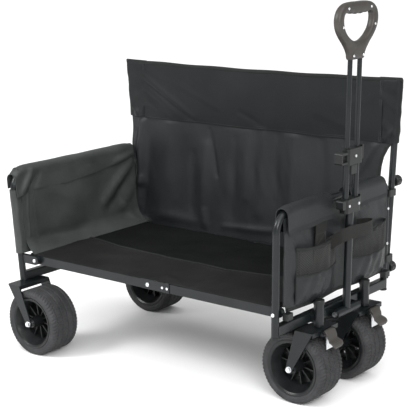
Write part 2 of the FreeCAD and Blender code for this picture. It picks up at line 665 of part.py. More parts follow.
def caster(tag, y):
    ax = STEM_X - TRAIL
    crown_x1 = STEM_X + 20.0
    place("axle_" + tag, axle(ax, y))
    place("tyre_" + tag, tyre(ax, y))
    place("rim_" + tag, wheel_rim(ax, y))
    # brake pedal: a curved plastic lever on a pin in front of the crown
    px = crown_x1 + 7.0
    pz = CROWN_Z - 7.0
    hinge = cyl(px, y, pz, "y", 5.0, 44.0)
    arm_side = [(0, 5.0), (7.0, 3.5), (17.0, -16.0), (14.0, -20.0), (2.0, -4.5)]
    tread_side = [(12.0, -15.0), (16.0, -13.0), (29.0, -24.0), (33.0, -33.0), (29.0, -34.0), (24.0, -26.5)]
    arm = prism([(px + dx, y - 20.0, pz + dz) for dx, dz in arm_side], vec(0, 40.0, 0))
    tread = prism([(px + dx, y - 23.0, pz + dz) for dx, dz in tread_side], vec(0, 46.0, 0))
    pedal = fuse([hinge, arm, tread]).cut(cyl(px, y, pz, "y", 2.55, 100.0))
    place("pedal_" + tag, pedal)
    # zinc-plated brake tongue below the pedal, and the pin it turns on
    tongue_face = [(-2.5, -7.0, -4.0), (-2.5, 7.0, -4.0), (4.0, 15.0, -41.0), (4.0, -15.0, -41.0)]
    tongue = prism([(px + dx, y + dy, pz + dz) for dx, dy, dz in tongue_face], vec(1.8, 0, 0.4))
    tongue = tongue.cut(cyl(px, y, pz, "y", 5.02, 60.0))
    place("brake_tongue_" + tag, tongue)
    ears = []
    for s in (-1, 1):
        y0 = y + s * 22.6
        y1 = y + s * 25.0
        ear = box(crown_x1 + 0.05, px, min(y0, y1), max(y0, y1), pz - 6.0, pz + 6.0)
        ears.append(fuse([ear, cyl(px, (y0 + y1) / 2, pz, "y", 6.0, 2.4)]))
    pin = cyl(px, y, pz, "y", 2.5, 55.0)
    heads = [cyl(px, y + s * 27.0, pz, "y", 3.6, 2.4) for s in (-1, 1)]
    bracket = fuse(ears + [pin] + heads)
    place("fork_" + tag, [fork(STEM_X, y, ax, STEM_X - 34.0, crown_x1, True), bracket])


caster("near", -STEM_Y)
caster("far", STEM_Y)

left_forks = []
left_axles = []
for tag, y in (("left_near", -LEFT_WHEEL_Y), ("left_far", LEFT_WHEEL_Y)):
    left_forks.append(fork(0, y, LEFT_AXLE_X, -445.0, -398.0, False))
    left_axles.append(axle(LEFT_AXLE_X, y))
    place("tyre_" + tag, tyre(LEFT_AXLE_X, y))
    place("rim_" + tag, wheel_rim(LEFT_AXLE_X, y))
place("forks_left", left_forks)
place("axles_left", left_axles)


# ---- pull handle ----
def lean_handle(shape):
    return tilt(shape, HANDLE_X, HANDLE_Z, HANDLE_LEAN)


hx = HANDLE_X
t_bar = cyl(hx, 0, HANDLE_Z, "y", T_R, 2 * T_HALF).cut(cyl(hx, 0, HANDLE_Z, "y", 4.06, 200.0))
mast = rod(vec(hx, 0, HANDLE_Z), vec(hx, 0, 470.0), 10.0)
mast = mast.cut(rod(vec(hx, 0, HANDLE_Z + 6), vec(hx, 0, 460.0), 8.6))
mast = mast.cut(cyl(hx, 0, HANDLE_Z, "y", 4.06, 200.0))
place("handle_mast", lean_handle(fuse([t_bar, mast])))


def collar(z0, z1):
    """A moulded block round the paired tubes."""
    return soften(box(hx - 12.0, hx + 12.0, -33.0, 33.0, z0, z1), 8.0, along("z"))


OUTER_R = 7.6
INNER_R = 6.0
low_z0 = 470.1
low_z1 = 505.0
high_z0 = 590.0
high_z1 = 630.0
lower_collar = collar(low_z0, low_z1)
upper_collar = collar(high_z0, high_z1)
outer_pair = []
inner_pair = []
for s in (-1, 1):
    y = s * PAIR_Y
    lower_collar = lower_collar.cut(rod(vec(hx, y, 460.0), vec(hx, y, 520.0), INNER_R + 0.1))
    seat = rod(vec(hx, y, low_z1 - 12.0), vec(hx, y, 520.0), OUTER_R + 0.02)
    lower_collar = lower_collar.cut(seat)
    upper_collar = upper_collar.cut(rod(vec(hx, y, 580.0), vec(hx, y, high_z1 - 10.0), OUTER_R + 0.02))
    upper_collar = upper_collar.cut(rod(vec(hx, y, 600.0), vec(hx, y, 640.0), INNER_R + 0.1))
    a = vec(hx, y, low_z1 - 11.95)
    b = vec(hx, y, high_z1 - 10.05)
    outer_pair.append(rod(a, b, OUTER_R).cut(rod(a, b, INNER_R + 0.08)))
    inner_pair.append(rod(vec(hx, y, 512.0), vec(hx, y, 858.0), INNER_R))
place("handle_collars", [lean_handle(lower_collar), lean_handle(upper_collar)])
place("handle_tubes_outer", [lean_handle(t) for t in outer_pair])
place("handle_tubes_inner", [lean_handle(t) for t in inner_pair])
tie = box(hx - 9.0, hx + 9.0, -PAIR_Y + OUTER_R + 0.1, PAIR_Y - OUTER_R - 0.1, 566.0, 588.0)
tie = soften(tie, 3.0, along("z"))

# C-shaped flip lever on the near side of the upper collar, and a clip on the far side
lever = box(hx - 11.0, hx + 11.0, -60.0, -34.0, 595.0, 624.0)
lever = soften(lever, 5.0, along("x"))
lever = lever.cut(box(hx - 20.0, hx + 20.0, -56.0, -38.5, 600.0, 618.0))
lever = lever.cut(box(hx - 20.0, hx + 20.0, -40.0, -30.0, 600.0, 618.0))
place("handle_lever", lean_handle(lever))
lever_low = soften(box(hx - 10.0, hx + 10.0, -47.0, -33.6, 482.0, 504.0), 4.0, along("x"))
clip_low = soften(box(hx - 8.0, hx + 8.0, 33.3, 39.0, 488.0, 509.0), 2.0, along("x"))
clip_high = soften(box(hx - 9.0, hx + 9.0, 33.3, 40.0, 598.0, 634.0), 2.5, along("x"))
place("handle_clips", [lean_handle(s) for s in (lever_low, clip_low, clip_high, tie)])
screws = []
for y in (-PAIR_Y, PAIR_Y):
    screws.append(cyl(hx + 12.0 + 0.85, y, 489.0, "x", 3.6, 1.6))
screws.append(cyl(hx + 12.0 + 0.85, 0.0, 611.0, "x", 3.6, 1.6))
place("handle_screws", [lean_handle(s) for s in screws])


# ---- grip ----
GRIP_LOW = 843.5
GRIP_TOP = 981.0
GRIP_HALF = 89.5
GRIP_R = 12.5


def grip():
    """A shield-shaped hand grip: a top bar for the fingers, two sides running down to the neck."""
    top = GRIP_TOP - GRIP_R
    side = GRIP_HALF - GRIP_R
    ring = [
        vec(hx, 0, top),
        vec(hx, side - 14.0, top),
        vec(hx, side, top - 16.0),
        vec(hx, side, top - 44.0),
        vec(hx, 30.0, GRIP_LOW + 44.0),
        vec(hx, -30.0, GRIP_LOW + 44.0),
        vec(hx, -side, top - 44.0),
        vec(hx, -side, top - 16.0),
        vec(hx, -side + 14.0, top),
    ]
    parts = []
    for i in range(len(ring)):
        a = ring[i]
        b = ring[(i + 1) % len(ring)]
        parts.append(rod(a, b, GRIP_R))
        parts.append(Part.makeSphere(GRIP_R, a))
    neck = prism([(hx - 12.5, -26.0, GRIP_LOW + 50.0), (hx - 12.5, 26.0, GRIP_LOW + 50.0),
                  (hx - 12.5, 30.0, GRIP_LOW), (hx - 12.5, -30.0, GRIP_LOW)], vec(25.0, 0, 0))
    neck = soften(neck, 7.0, lambda e: abs(e.BoundBox.ZLength) > 40.0)
    for i in (-1.5, -0.5, 0.5, 1.5):
        bump = cyl(hx, i * 24.0, top - 4.5, "x", 11.0, 14.0)
        parts.append(bump)
    whole = fuse(parts + [neck])
    for s in (-1, 1):
        whole = whole.cut(rod(vec(hx, s * PAIR_Y, 800.0), vec(hx, s * PAIR_Y, 858.05), INNER_R + 0.02))
    return whole


place("grip", lean_handle(grip()))
grip_screws = []
top_z = GRIP_TOP - GRIP_R
side_y = GRIP_HALF - GRIP_R
spots = [(-52.0, top_z + 2.0), (52.0, top_z + 2.0), (-side_y, top_z - 30.0), (side_y, top_z - 30.0)]
for y, z in spots:
    grip_screws.append(cyl(hx + GRIP_R + 0.6, y, z, "x", 3.4, 1.0))
for y in (-PAIR_Y, PAIR_Y):
    grip_screws.append(cyl(hx + GRIP_R + 0.6, y, GRIP_LOW + 12.0, "x", 3.4, 1.0))
place("grip_screws", [lean_handle(s) for s in grip_screws])

# ---- report on the result ----
total = None
for name, shape in sorted(NODES.items()):
    b = shape.BoundBox
    total = FreeCAD.BoundBox(b) if total is None else total.united(b)
    bad = "" if shape.isValid() else "  INVALID"
    print("%-22s %d solid(s) %9.0f mm3%s" % (name, len(shape.Solids), shape.Volume, bad))
print(len(NODES), "nodes; x %.2f %.2f  y %.2f %.2f  z %.2f %.2f" % (
    total.XMin, total.XMax, total.YMin, total.YMax, total.ZMin, total.ZMax))
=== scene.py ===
import json
import math

import bpy
import numpy as np
from mathutils import Matrix, Vector


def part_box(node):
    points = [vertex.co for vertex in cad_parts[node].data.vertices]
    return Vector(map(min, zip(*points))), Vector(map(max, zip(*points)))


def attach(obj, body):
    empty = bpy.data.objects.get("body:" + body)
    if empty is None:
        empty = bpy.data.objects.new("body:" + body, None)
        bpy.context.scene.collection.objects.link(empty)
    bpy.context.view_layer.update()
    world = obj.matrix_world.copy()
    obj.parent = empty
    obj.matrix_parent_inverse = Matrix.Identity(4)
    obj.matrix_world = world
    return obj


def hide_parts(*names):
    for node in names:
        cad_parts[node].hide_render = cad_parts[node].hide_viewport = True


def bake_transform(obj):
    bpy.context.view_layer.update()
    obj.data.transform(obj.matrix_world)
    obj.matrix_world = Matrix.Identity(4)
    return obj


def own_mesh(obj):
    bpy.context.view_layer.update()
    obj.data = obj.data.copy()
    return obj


# Folding bench wagon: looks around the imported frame. Metres, +X is the handle end, +Y the backrest.

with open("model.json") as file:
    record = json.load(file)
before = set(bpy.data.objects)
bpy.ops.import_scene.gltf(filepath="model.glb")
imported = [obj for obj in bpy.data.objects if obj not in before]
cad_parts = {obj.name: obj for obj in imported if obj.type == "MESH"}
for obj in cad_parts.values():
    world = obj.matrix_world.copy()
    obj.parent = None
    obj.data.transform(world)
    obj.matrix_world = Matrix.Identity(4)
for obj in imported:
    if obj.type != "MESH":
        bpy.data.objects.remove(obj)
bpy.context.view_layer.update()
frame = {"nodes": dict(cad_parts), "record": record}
nodes = frame["nodes"]

# ---- lines of the frame that the cloth follows ----
RAIL_Z = 0.262               # height that the hoops lean from
ARM_Z = 0.5012               # centre of the armrest tubes
ARM_BEND = 0.045             # radius of the bends at their ends
TUBE = 0.0095                # radius of the hoop tubes
HOOP_Y = 0.248               # upright tubes of the hoops
POST_Y = 0.2677              # backrest posts
POST_FOOT_Z = 0.255          # height that the posts lean from
POST_TOP = 0.763
BACK_FOOT = 0.269            # lower edge of the back wall
BAND_LOW = 0.5965            # lower edge of the upper band
SEAM_Z = 0.603               # seam between wall and band
BACK_TOP = 0.768
HANDLE_X = 0.4564            # the handle leans about this point
HANDLE_Z = 0.217
HANDLE_LEAN = math.radians(1.75)
HINGE_X = 0.0064             # centre of the fold

# ---- thickness of the cloths ----
WALL_THICK = 0.0022
COVER_THICK = 0.0020
LIGHT_THICK = 0.0016
WEBBING_THICK = 0.0018
SLEEVE_R = 0.0128            # radius of the sleeves round the posts


def upright(x, degrees, foot):
    """X of a leaning upright at any height. It stands at x at the height `foot`."""
    slope = math.tan(math.radians(degrees))
    return lambda z: x + slope * (z - foot)


right_post = upright(x=0.4164, degrees=1.1, foot=RAIL_Z)
left_post = upright(x=-0.4596, degrees=-4.6, foot=RAIL_Z)
right_back_post = upright(x=0.4114, degrees=3.37, foot=POST_FOOT_Z)
left_back_post = upright(x=-0.4576, degrees=-3.9, foot=POST_FOOT_Z)


# ---- materials ----
def material(name, colour, rough, metal=0.0, spec=0.5):
    """A principled material, with its node tree, its shader and its texture coordinates."""
    m = bpy.data.materials.new(name)
    m.use_nodes = True
    tree = m.node_tree
    shader = tree.nodes["Principled BSDF"]
    shader.inputs["Base Color"].default_value = (*colour, 1.0)
    shader.inputs["Roughness"].default_value = rough
    shader.inputs["Metallic"].default_value = metal
    shader.inputs["Specular IOR Level"].default_value = spec
    where = tree.nodes.new("ShaderNodeTexCoord")
    return m, tree, shader, where.outputs


def noise(tree, vector, scale, detail, rough=0.5):
    n = tree.nodes.new("ShaderNodeTexNoise")
    n.inputs["Scale"].default_value = scale
    n.inputs["Detail"].default_value = detail
    n.inputs["Roughness"].default_value = rough
    tree.links.new(vector, n.inputs["Vector"])
    return n.outputs["Fac"]


def tint(tree, shader, value, dark, light, low=0.3, high=0.7):
    """Colours the surface from dark, where the value is low, to light, where it is high."""
    r = tree.nodes.new("ShaderNodeValToRGB")
    for element, place, colour in zip(r.color_ramp.elements, (low, high), (dark, light)):
        element.position = place
        element.color = (*colour, 1.0)
    tree.links.new(value, r.inputs["Fac"])
    tree.links.new(r.outputs["Color"], shader.inputs["Base Color"])


def dull(tree, shader, value, low, high):
    """Makes the roughness follow a value of 0..1 from low to high."""
    r = tree.nodes.new("ShaderNodeMapRange")
    r.inputs["To Min"].default_value = low
    r.inputs["To Max"].default_value = high
    tree.links.new(value, r.inputs["Value"])
    tree.links.new(r.outputs["Result"], shader.inputs["Roughness"])


def maths(tree, kind, a, b):
    n = tree.nodes.new("ShaderNodeMath")
    n.operation = kind
    for number, value in enumerate((a, b)):
        if isinstance(value, (int, float)):
            n.inputs[number].default_value = value
        else:
            tree.links.new(value, n.inputs[number])
    return n.outputs[0]


def bump(tree, shader, height, strength, distance):
    b = tree.nodes.new("ShaderNodeBump")
    b.inputs["Strength"].default_value = strength
    b.inputs["Distance"].default_value = distance
    tree.links.new(height, b.inputs["Height"])
    tree.links.new(b.outputs["Normal"], shader.inputs["Normal"])


def wave(tree, vector, period, direction):
    w = tree.nodes.new("ShaderNodeTexWave")
    w.bands_direction = direction
    w.inputs["Scale"].default_value = 2.0 * math.pi / (20.0 * period)
    w.inputs["Distortion"].default_value = 0.6
    w.inputs["Detail"].default_value = 1.0
    tree.links.new(vector, w.inputs["Vector"])
    return w.outputs["Fac"]


def cloth(name, dark, light, rough, thread, relief, spec):
    """Woven cloth: threads follow the piece's own length and width, its tone drifts."""
    m, tree, shader, where = material(name, dark, rough, 0.0, spec)
    tone = noise(tree, where["Object"], 9.0, 4.0)
    fine = noise(tree, where["Object"], 260.0, 2.0)
    both = maths(tree, "ADD", maths(tree, "MULTIPLY", tone, 0.65), maths(tree, "MULTIPLY", fine, 0.35))
    tint(tree, shader, both, dark, light, 0.34, 0.66)
    warp = wave(tree, where["UV"], thread, "X")
    weft = wave(tree, where["UV"], thread, "Y")
    weave = maths(tree, "MULTIPLY", warp, weft)
    height = maths(tree, "ADD", weave, maths(tree, "MULTIPLY", tone, 0.8))
    bump(tree, shader, height, relief, thread * 0.5)
    dull(tree, shader, tone, rough - 0.07, rough + 0.08)
    return m


def painted(name, dark, light, rough, grain):
    """Powder coat or moulded plastic: a fine orange peel and a little uneven gloss."""
    m, tree, shader, where = material(name, dark, rough, 0.0, 0.3)
    tone = noise(tree, where["Object"], 22.0, 3.0)
    peel = noise(tree, where["Object"], grain, 2.0)
    tint(tree, shader, tone, dark, light)
    dull(tree, shader, peel, rough - 0.06, rough + 0.09)
    bump(tree, shader, peel, 0.12, 0.0004)
    return m


def plated(name, colour, rough):
    m, tree, shader, where = material(name, colour, rough, 1.0)
    tone = noise(tree, where["Object"], 160.0, 3.0)
    tint(tree, shader, tone, tuple(0.72 * c for c in colour), colour)
    dull(tree, shader, tone, rough - 0.08, rough + 0.12)
    bump(tree, shader, tone, 0.1, 0.0003)
    return m


def rubber(name, dark, light):
    m, tree, shader, where = material(name, dark, 0.72, 0.0, 0.2)
    tone = noise(tree, where["Object"], 30.0, 5.0, 0.6)
    grit = noise(tree, where["Object"], 700.0, 2.0)
    tint(tree, shader, tone, dark, light, 0.35, 0.68)
    dull(tree, shader, tone, 0.6, 0.82)
    bump(tree, shader, grit, 0.2, 0.0004)
    return m


# the first three are one fabric: the upper band's darker colour is painted shade and the left end's
# lighter colour is painted light
polyester = cloth("polyester", (0.0090, 0.0104, 0.0112), (0.0160, 0.0178, 0.0190),
                  rough=0.42, thread=0.0009, relief=0.28, spec=0.24)
# painted shade: the upper band gets a darker copy of the polyester to stand in for shade
band_cloth_painted_shade = cloth("band_cloth_painted_shade", (0.0062, 0.0070, 0.0076), (0.0112, 0.0126, 0.0134),
                   rough=0.46, thread=0.0009, relief=0.28, spec=0.16)
# painted light: the left end gets a lighter copy of the polyester to stand in for the light falling on
# it
end_cloth_painted_light = cloth("end_cloth_painted_light", (0.0250, 0.0282, 0.0268), (0.0440, 0.0485, 0.0465),
                  rough=0.42, thread=0.0009, relief=0.28, spec=0.28)
lining = cloth("lining", (0.0080, 0.0083, 0.0080), (0.0135, 0.0137, 0.0132),
               rough=0.6, thread=0.0009, relief=0.3, spec=0.12)
mat_cloth = cloth("mat_cloth", (0.0038, 0.0043, 0.0042), (0.0072, 0.0076, 0.0074),
                  rough=0.75, thread=0.0011, relief=0.3, spec=0.06)
net = cloth("net", (0.040, 0.0400, 0.0395), (0.066, 0.066, 0.065),
            rough=0.6, thread=0.0005, relief=0.2, spec=0.2)
webbing = cloth("webbing", (0.0105, 0.0101, 0.0096), (0.0200, 0.0193, 0.0185),
                rough=0.62, thread=0.0022, relief=0.9, spec=0.15)
tape = cloth("tape", (0.0105, 0.0112, 0.0112), (0.0175, 0.0182, 0.0180),
             rough=0.6, thread=0.0012, relief=0.4, spec=0.15)
thread = cloth("thread", (0.040, 0.042, 0.043), (0.065, 0.067, 0.068),
               rough=0.55, thread=0.0004, relief=0.3, spec=0.2)
powder = painted("powder_coat", (0.0046, 0.0062, 0.0070), (0.0080, 0.0102, 0.0112), 0.28, 900.0)
black_plastic = painted("black_plastic", (0.0058, 0.0063, 0.0067), (0.0100, 0.0106, 0.0110), 0.38, 600.0)
taupe_plastic = painted("taupe_plastic", (0.032, 0.0290, 0.0252), (0.048, 0.0438, 0.0390), 0.42, 500.0)
rim_plastic = painted("rim_plastic", (0.0070, 0.0077, 0.0082), (0.0115, 0.0122, 0.0130), 0.30, 500.0)
zinc = plated("zinc", (0.80, 0.82, 0.84), 0.28)
tyre_rubber = rubber("tyre_rubber", (0.027, 0.0275, 0.0288), (0.047, 0.0475, 0.0495))


def finish_nodes(names, look):
    """Gives CAD nodes a material and smooth curved faces."""
    for name in names:
        o = nodes[name]
        o.data.materials.clear()
        o.data.materials.append(look)
        for p in o.data.polygons:
            p.material_index = 0
        o.data.set_sharp_from_angle(angle=math.radians(32))


slots = {}
for part in frame["record"]["subparts"]:
    slots.setdefault(part["material_slot"], []).append(part["node"])
for slot_name, look in (("powder_coat", powder), ("zinc", zinc), ("rim", rim_plastic),
                        ("black_plastic", black_plastic), ("taupe_plastic", taupe_plastic)):
    finish_nodes(slots[slot_name], look)


# ---- mesh tools ----
def new_object(name, points, faces, look, uv=None, angle=40):
    mesh = bpy.data.meshes.new(name)
    mesh.from_pydata([tuple(p) for p in points], [], faces)
    mesh.materials.append(look)
    if uv is not None:
        layer = mesh.uv_layers.new(name="cloth")
        corner = np.zeros(len(mesh.loops), int)
        mesh.loops.foreach_get("vertex_index", corner)
        layer.data.foreach_set("uv", np.asarray(uv, float)[corner].ravel())
    for p in mesh.polygons:
        p.use_smooth = True
    mesh.set_sharp_from_angle(angle=math.radians(angle))
    mesh.update()
    o = bpy.data.objects.new(name, mesh)
    bpy.context.scene.collection.objects.link(o)
    return o


def lengths(points):
    """Distance run along a row of points."""
    steps = np.linalg.norm(np.diff(points, axis=0), axis=1)
    return np.concatenate([[0.0], np.cumsum(steps)])


def row(*columns):
    """Points from their coordinates, each a number or an array."""
    return np.stack(np.broadcast_arrays(*columns), axis=-1)


def squared(v, power):
    """Makes a round section squarer: v is a sine or cosine, and the power is below 1."""
    return math.copysign(abs(v) ** power, v)


def tube_faces(rows, sides, first=0):
    """Faces of a tube closed at both ends: `rows` rings of `sides` points from point `first`."""
    faces = []
    for i in range(rows - 1):
        for k in range(sides):
            a = first + i * sides + k
            b = first + i * sides + (k + 1) % sides
            faces.append((a, b, b + sides, a + sides))
    last = first + (rows - 1) * sides
    faces.append(tuple(first + k for k in reversed(range(sides))))
    faces.append(tuple(last + k for k in range(sides)))
    return faces


def ring_faces(rows, sides):
    """Faces of a tube that closes on itself, as a tyre does."""
    faces = []
    for i in range(rows):
        a = i * sides
        b = (i + 1) % rows * sides
        for j in range(sides):
            k = (j + 1) % sides
            faces.append((a + j, a + k, b + k, b + j))
    return faces


def shell(name, outer, thick, look):
    """A closed sheet of even thickness behind the grid of points `outer`."""
    nu, nv = outer.shape[:2]
    normal = np.cross(np.gradient(outer, axis=0), np.gradient(outer, axis=1))
    normal /= np.linalg.norm(normal, axis=2, keepdims=True) + 1e-12
    inner = outer - normal * thick
    points = np.concatenate([outer.reshape(-1, 3), inner.reshape(-1, 3)])
    count = nu * nv
    faces = []
    for i in range(nu - 1):
        for j in range(nv - 1):
            a = i * nv + j
            b = a + nv
            faces.append((a, b, b + 1, a + 1))
            faces.append((count + a, count + a + 1, count + b + 1, count + b))
    for i in range(nu - 1):
        a = i * nv
        b = a + nv
        faces.append((a, count + a, count + b, b))
        a += nv - 1
        b += nv - 1
        faces.append((a, b, count + b, count + a))
    for j in range(nv - 1):
        a = j
        faces.append((a, a + 1, count + a + 1, count + a))
        a = (nu - 1) * nv + j
        faces.append((a, count + a, count + a + 1, a + 1))
    along = lengths(outer[:, nv // 2])
    across = lengths(outer[nu // 2])
    u, v = np.meshgrid(along, across, indexing="ij")
    one_side = row(u.ravel(), v.ravel())
    return new_object(name, points, faces, look, np.concatenate([one_side, one_side]))


def between(a, b, c, d, t):
    """The point at share t between b and c on the smooth curve through a, b, c and d."""
    return 0.5 * (2 * b + (c - a) * t + (2 * a - 5 * b + 4 * c - d) * t * t
                  + (3 * b - a - 3 * c + d) * t ** 3)


def smooth_line(points, steps):
    """A curve through the points."""
    p = np.asarray(points, float)
    p = np.concatenate([[2 * p[0] - p[1]], p, [2 * p[-1] - p[-2]]])
    out = []
    for i in range(1, len(p) - 2):
        for t in np.linspace(0, 1, steps, endpoint=False):
            out.append(between(p[i - 1], p[i], p[i + 1], p[i + 2], t))
    out.append(p[-2])
    return np.array(out)


def cord_mesh(name, lines, radius, look, sides):
    """Thin round strands along lines of points, closed at their ends."""
    points = []
    faces = []
    for line in lines:
        line = np.asarray(line, float)
        ahead = np.gradient(line, axis=0)
        ahead /= np.linalg.norm(ahead, axis=1, keepdims=True) + 1e-12
        side = np.cross(ahead, (0.13, 0.31, 0.94))
        side /= np.linalg.norm(side, axis=1, keepdims=True) + 1e-12
        up = np.cross(side, ahead)
        first = len(points)
        for c, s, u in zip(line, side, up):
            for k in range(sides):
                t = 2 * math.pi * k / sides
                points.append(c + radius * (s * math.cos(t) + u * math.sin(t)))
        faces += tube_faces(len(line), sides, first)
    return new_object(name, points, faces, look)


def stitches(name, line, body, pitch=0.0052, length=0.0034, radius=0.00042):
    """A row of single stitches lying on a seam."""
    line = np.asarray(line, float)
    run = lengths(line)
    rows = []
    start = pitch / 2
    while start + length < run[-1]:
        at = np.linspace(start, start + length, 4)
        rows.append(row(*[np.interp(at, run, line[:, k]) for k in range(3)]))
        start += pitch
    o = cord_mesh(name, rows, radius, thread, 5)
    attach(o, body)
    return o


def ridge(a, b, start, end, width, height):
    """A fold that runs from start to end, fading at both ends."""
    da = end[0] - start[0]
    db = end[1] - start[1]
    t = ((a - start[0]) * da + (b - start[1]) * db) / (da * da + db * db)
    t = np.clip(t, 0.0, 1.0)
    away = np.hypot(a - start[0] - t * da, b - start[1] - t * db)
    return height * np.exp(-(away / width) ** 2) * (0.35 + 0.65 * np.sin(math.pi * (0.12 + 0.76 * t)))


def ridges(d, a, b, rows):
    """Adds folds to d, each given as start, end, width and height."""
    for start, end, width, height in rows:
        d = d + ridge(a, b, start, end, width, height)
    return d


def swell(a, b, seed, size, turn, wander, count=8):
    """Soft uneven waves, -1 to 1, that cross the piece at the angle `turn`."""
    rng = np.random.default_rng(seed)
    total = np.zeros_like(a)
    for _ in range(count):
        angle = turn + rng.normal(0.0, wander)
        k = 2 * math.pi / (size * rng.uniform(0.6, 1.7))
        across = a * math.cos(angle) + b * math.sin(angle)
        total += np.sin(k * across + rng.uniform(0, 2 * math.pi))
    return total / math.sqrt(count * 2.0)


def crumple(a, b, seed, size, turn, wander):
    """Waves with sharper crests, as stiff cloth makes."""
    s = swell(a, b, seed, size, turn, wander)
    return 0.5 * s + 0.9 * (0.4 - np.abs(s))


def ease(x, low, high):
    t = np.clip((x - low) / (high - low), 0.0, 1.0)
    return t * t * (3 - 2 * t)


def place(o, body, slot="polyester", flat=None, held="stretched", rests=(), node=()):
    """Attaches a piece to its body and hides the nodes it stands for. Its material slot, flat size, hold
    and rests are not used.
    """
    if body:
        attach(o, body)
    if node:
        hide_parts(*node)


def hem(name, line, height, thick, body, down=(0.0, 0.0, -1.0), out=(0.0, -1.0, 0.0)):
    """A binding tape folded over an edge: `height` long down the cloth, `thick` through it."""
    line = np.asarray(line, float)
    d = np.asarray(down, float)
    n = np.asarray(out, float)
    around = np.linspace(0, 2 * math.pi, 17)
    grid = np.zeros((len(line), len(around), 3))
    for j, t in enumerate(around):
        fat = squared(math.sin(t), 0.6) * thick / 2
        tall = squared(math.cos(t), 0.6) * height / 2
        grid[:, j] = line + d * (height / 2 - 0.001) + n * fat + d * tall
    points = grid[:, :-1].reshape(-1, 3)
    m = len(around) - 1
    run = lengths(line)
    uv = [(run[i], height * j / m * 2) for i in range(len(line)) for j in range(m)]
    o = new_object(name, points, tube_faces(len(line), m), tape, uv)
    place(o, body)
    return o


def squeeze(o):
    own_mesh(o)


def wall_edges(z):
    """Left and right edge of the lower back wall at a height."""
    left = np.interp(z, [0.27, 0.40, 0.52, SEAM_Z], [-0.446, -0.458, -0.474, -0.4795])
    right = np.interp(z, [0.27, 0.500, 0.535, 0.560, 0.585, SEAM_Z],
                      [0.399, 0.399, 0.402, 0.408, 0.421, 0.436])
    return left, right


def back_wall():
    s, z = np.meshgrid(np.linspace(0, 1, 190), np.linspace(BACK_FOOT, 0.611, 86), indexing="ij")
    left, right = wall_edges(z)
    x = left + (right - left) * s
    y = np.interp(z, [BACK_FOOT, SEAM_Z, 0.62], [0.2412, 0.2562, 0.2565])
    y -= 0.0095 * (1 - ease(x, -0.462, -0.425)) * (1 - ease(z, 0.50, 0.57))
    d = 0.0026 * swell(x, z, 3, 0.17, 0.0, 0.12)
    d += 0.0007 * crumple(x, z, 8, 0.075, 0.2, 0.25)
    d = ridges(d, x, z, [
        ((-0.436, 0.600), (-0.440, 0.400), 0.014, 0.017),
        ((-0.440, 0.410), (-0.452, 0.330), 0.012, 0.009),
        ((-0.463, 0.560), (-0.462, 0.420), 0.007, -0.006),
        ((-0.178, 0.580), (-0.150, 0.450), 0.008, -0.0045),
        ((-0.189, 0.530), (-0.203, 0.330), 0.019, 0.0065),
        ((-0.238, 0.500), (-0.246, 0.350), 0.017, -0.0045),
        ((-0.330, 0.590), (-0.342, 0.420), 0.024, 0.0035),
        ((-0.036, 0.590), (-0.046, 0.400), 0.018, 0.0042),
        ((0.015, 0.580), (0.008, 0.360), 0.018, 0.0035),
        ((-0.081, 0.560), (-0.092, 0.340), 0.016, -0.0045),
        ((0.065, 0.590), (0.060, 0.400), 0.015, -0.0030),
        ((0.123, 0.590), (0.118, 0.330), 0.020, 0.0045),
        ((0.215, 0.590), (0.222, 0.380), 0.018, -0.0030),
        ((0.388, 0.600), (0.335, 0.515), 0.011, 0.0050),
        ((0.360, 0.600), (0.300, 0.520), 0.011, -0.0035),
        ((-0.430, 0.305), (-0.200, 0.298), 0.020, 0.0050),
        ((-0.195, 0.335), (-0.188, 0.272), 0.012, 0.0050),
        ((-0.120, 0.300), (0.060, 0.310), 0.010, 0.004),
    ])
    hold = (1 - ease(z, 0.585, 0.604)) * (0.25 + 0.75 * ease(z, BACK_FOOT, 0.305))
    d = np.clip(d * hold, -0.009, 0.022)
    o = shell("back_wall", row(x, y - d, z), WALL_THICK, polyester)
    place(o, "handle_end", flat=(0.92, 0.345), held="hung", rests=["back_post_right"],
          node=["back_panel"])
    squeeze(o)
    # binding tape down the curved right edge
    zs = np.linspace(0.285, 0.598, 40)
    edge = row(wall_edges(zs)[1] - 0.001, np.interp(zs, [0.277, SEAM_Z], [0.2416, 0.2574]), zs)
    hem("back_wall_binding", edge, 0.009, 0.0042, "handle_end", (-1, 0, 0), (0, 1, 0))


def band_top(x):
    sag = 0.0035 * np.cos(np.clip(x / 0.43, -1, 1) * math.pi / 2)
    return BACK_TOP - sag + 0.0008 * np.sin(x * 31.0)


def band_seams(z):
    """Left and right seam of the upper band, where the post sleeves begin."""
    top = (z - SEAM_Z) / (BACK_TOP - SEAM_Z)
    return -0.430 + 0.008 * top, 0.3915 + 0.0035 * top


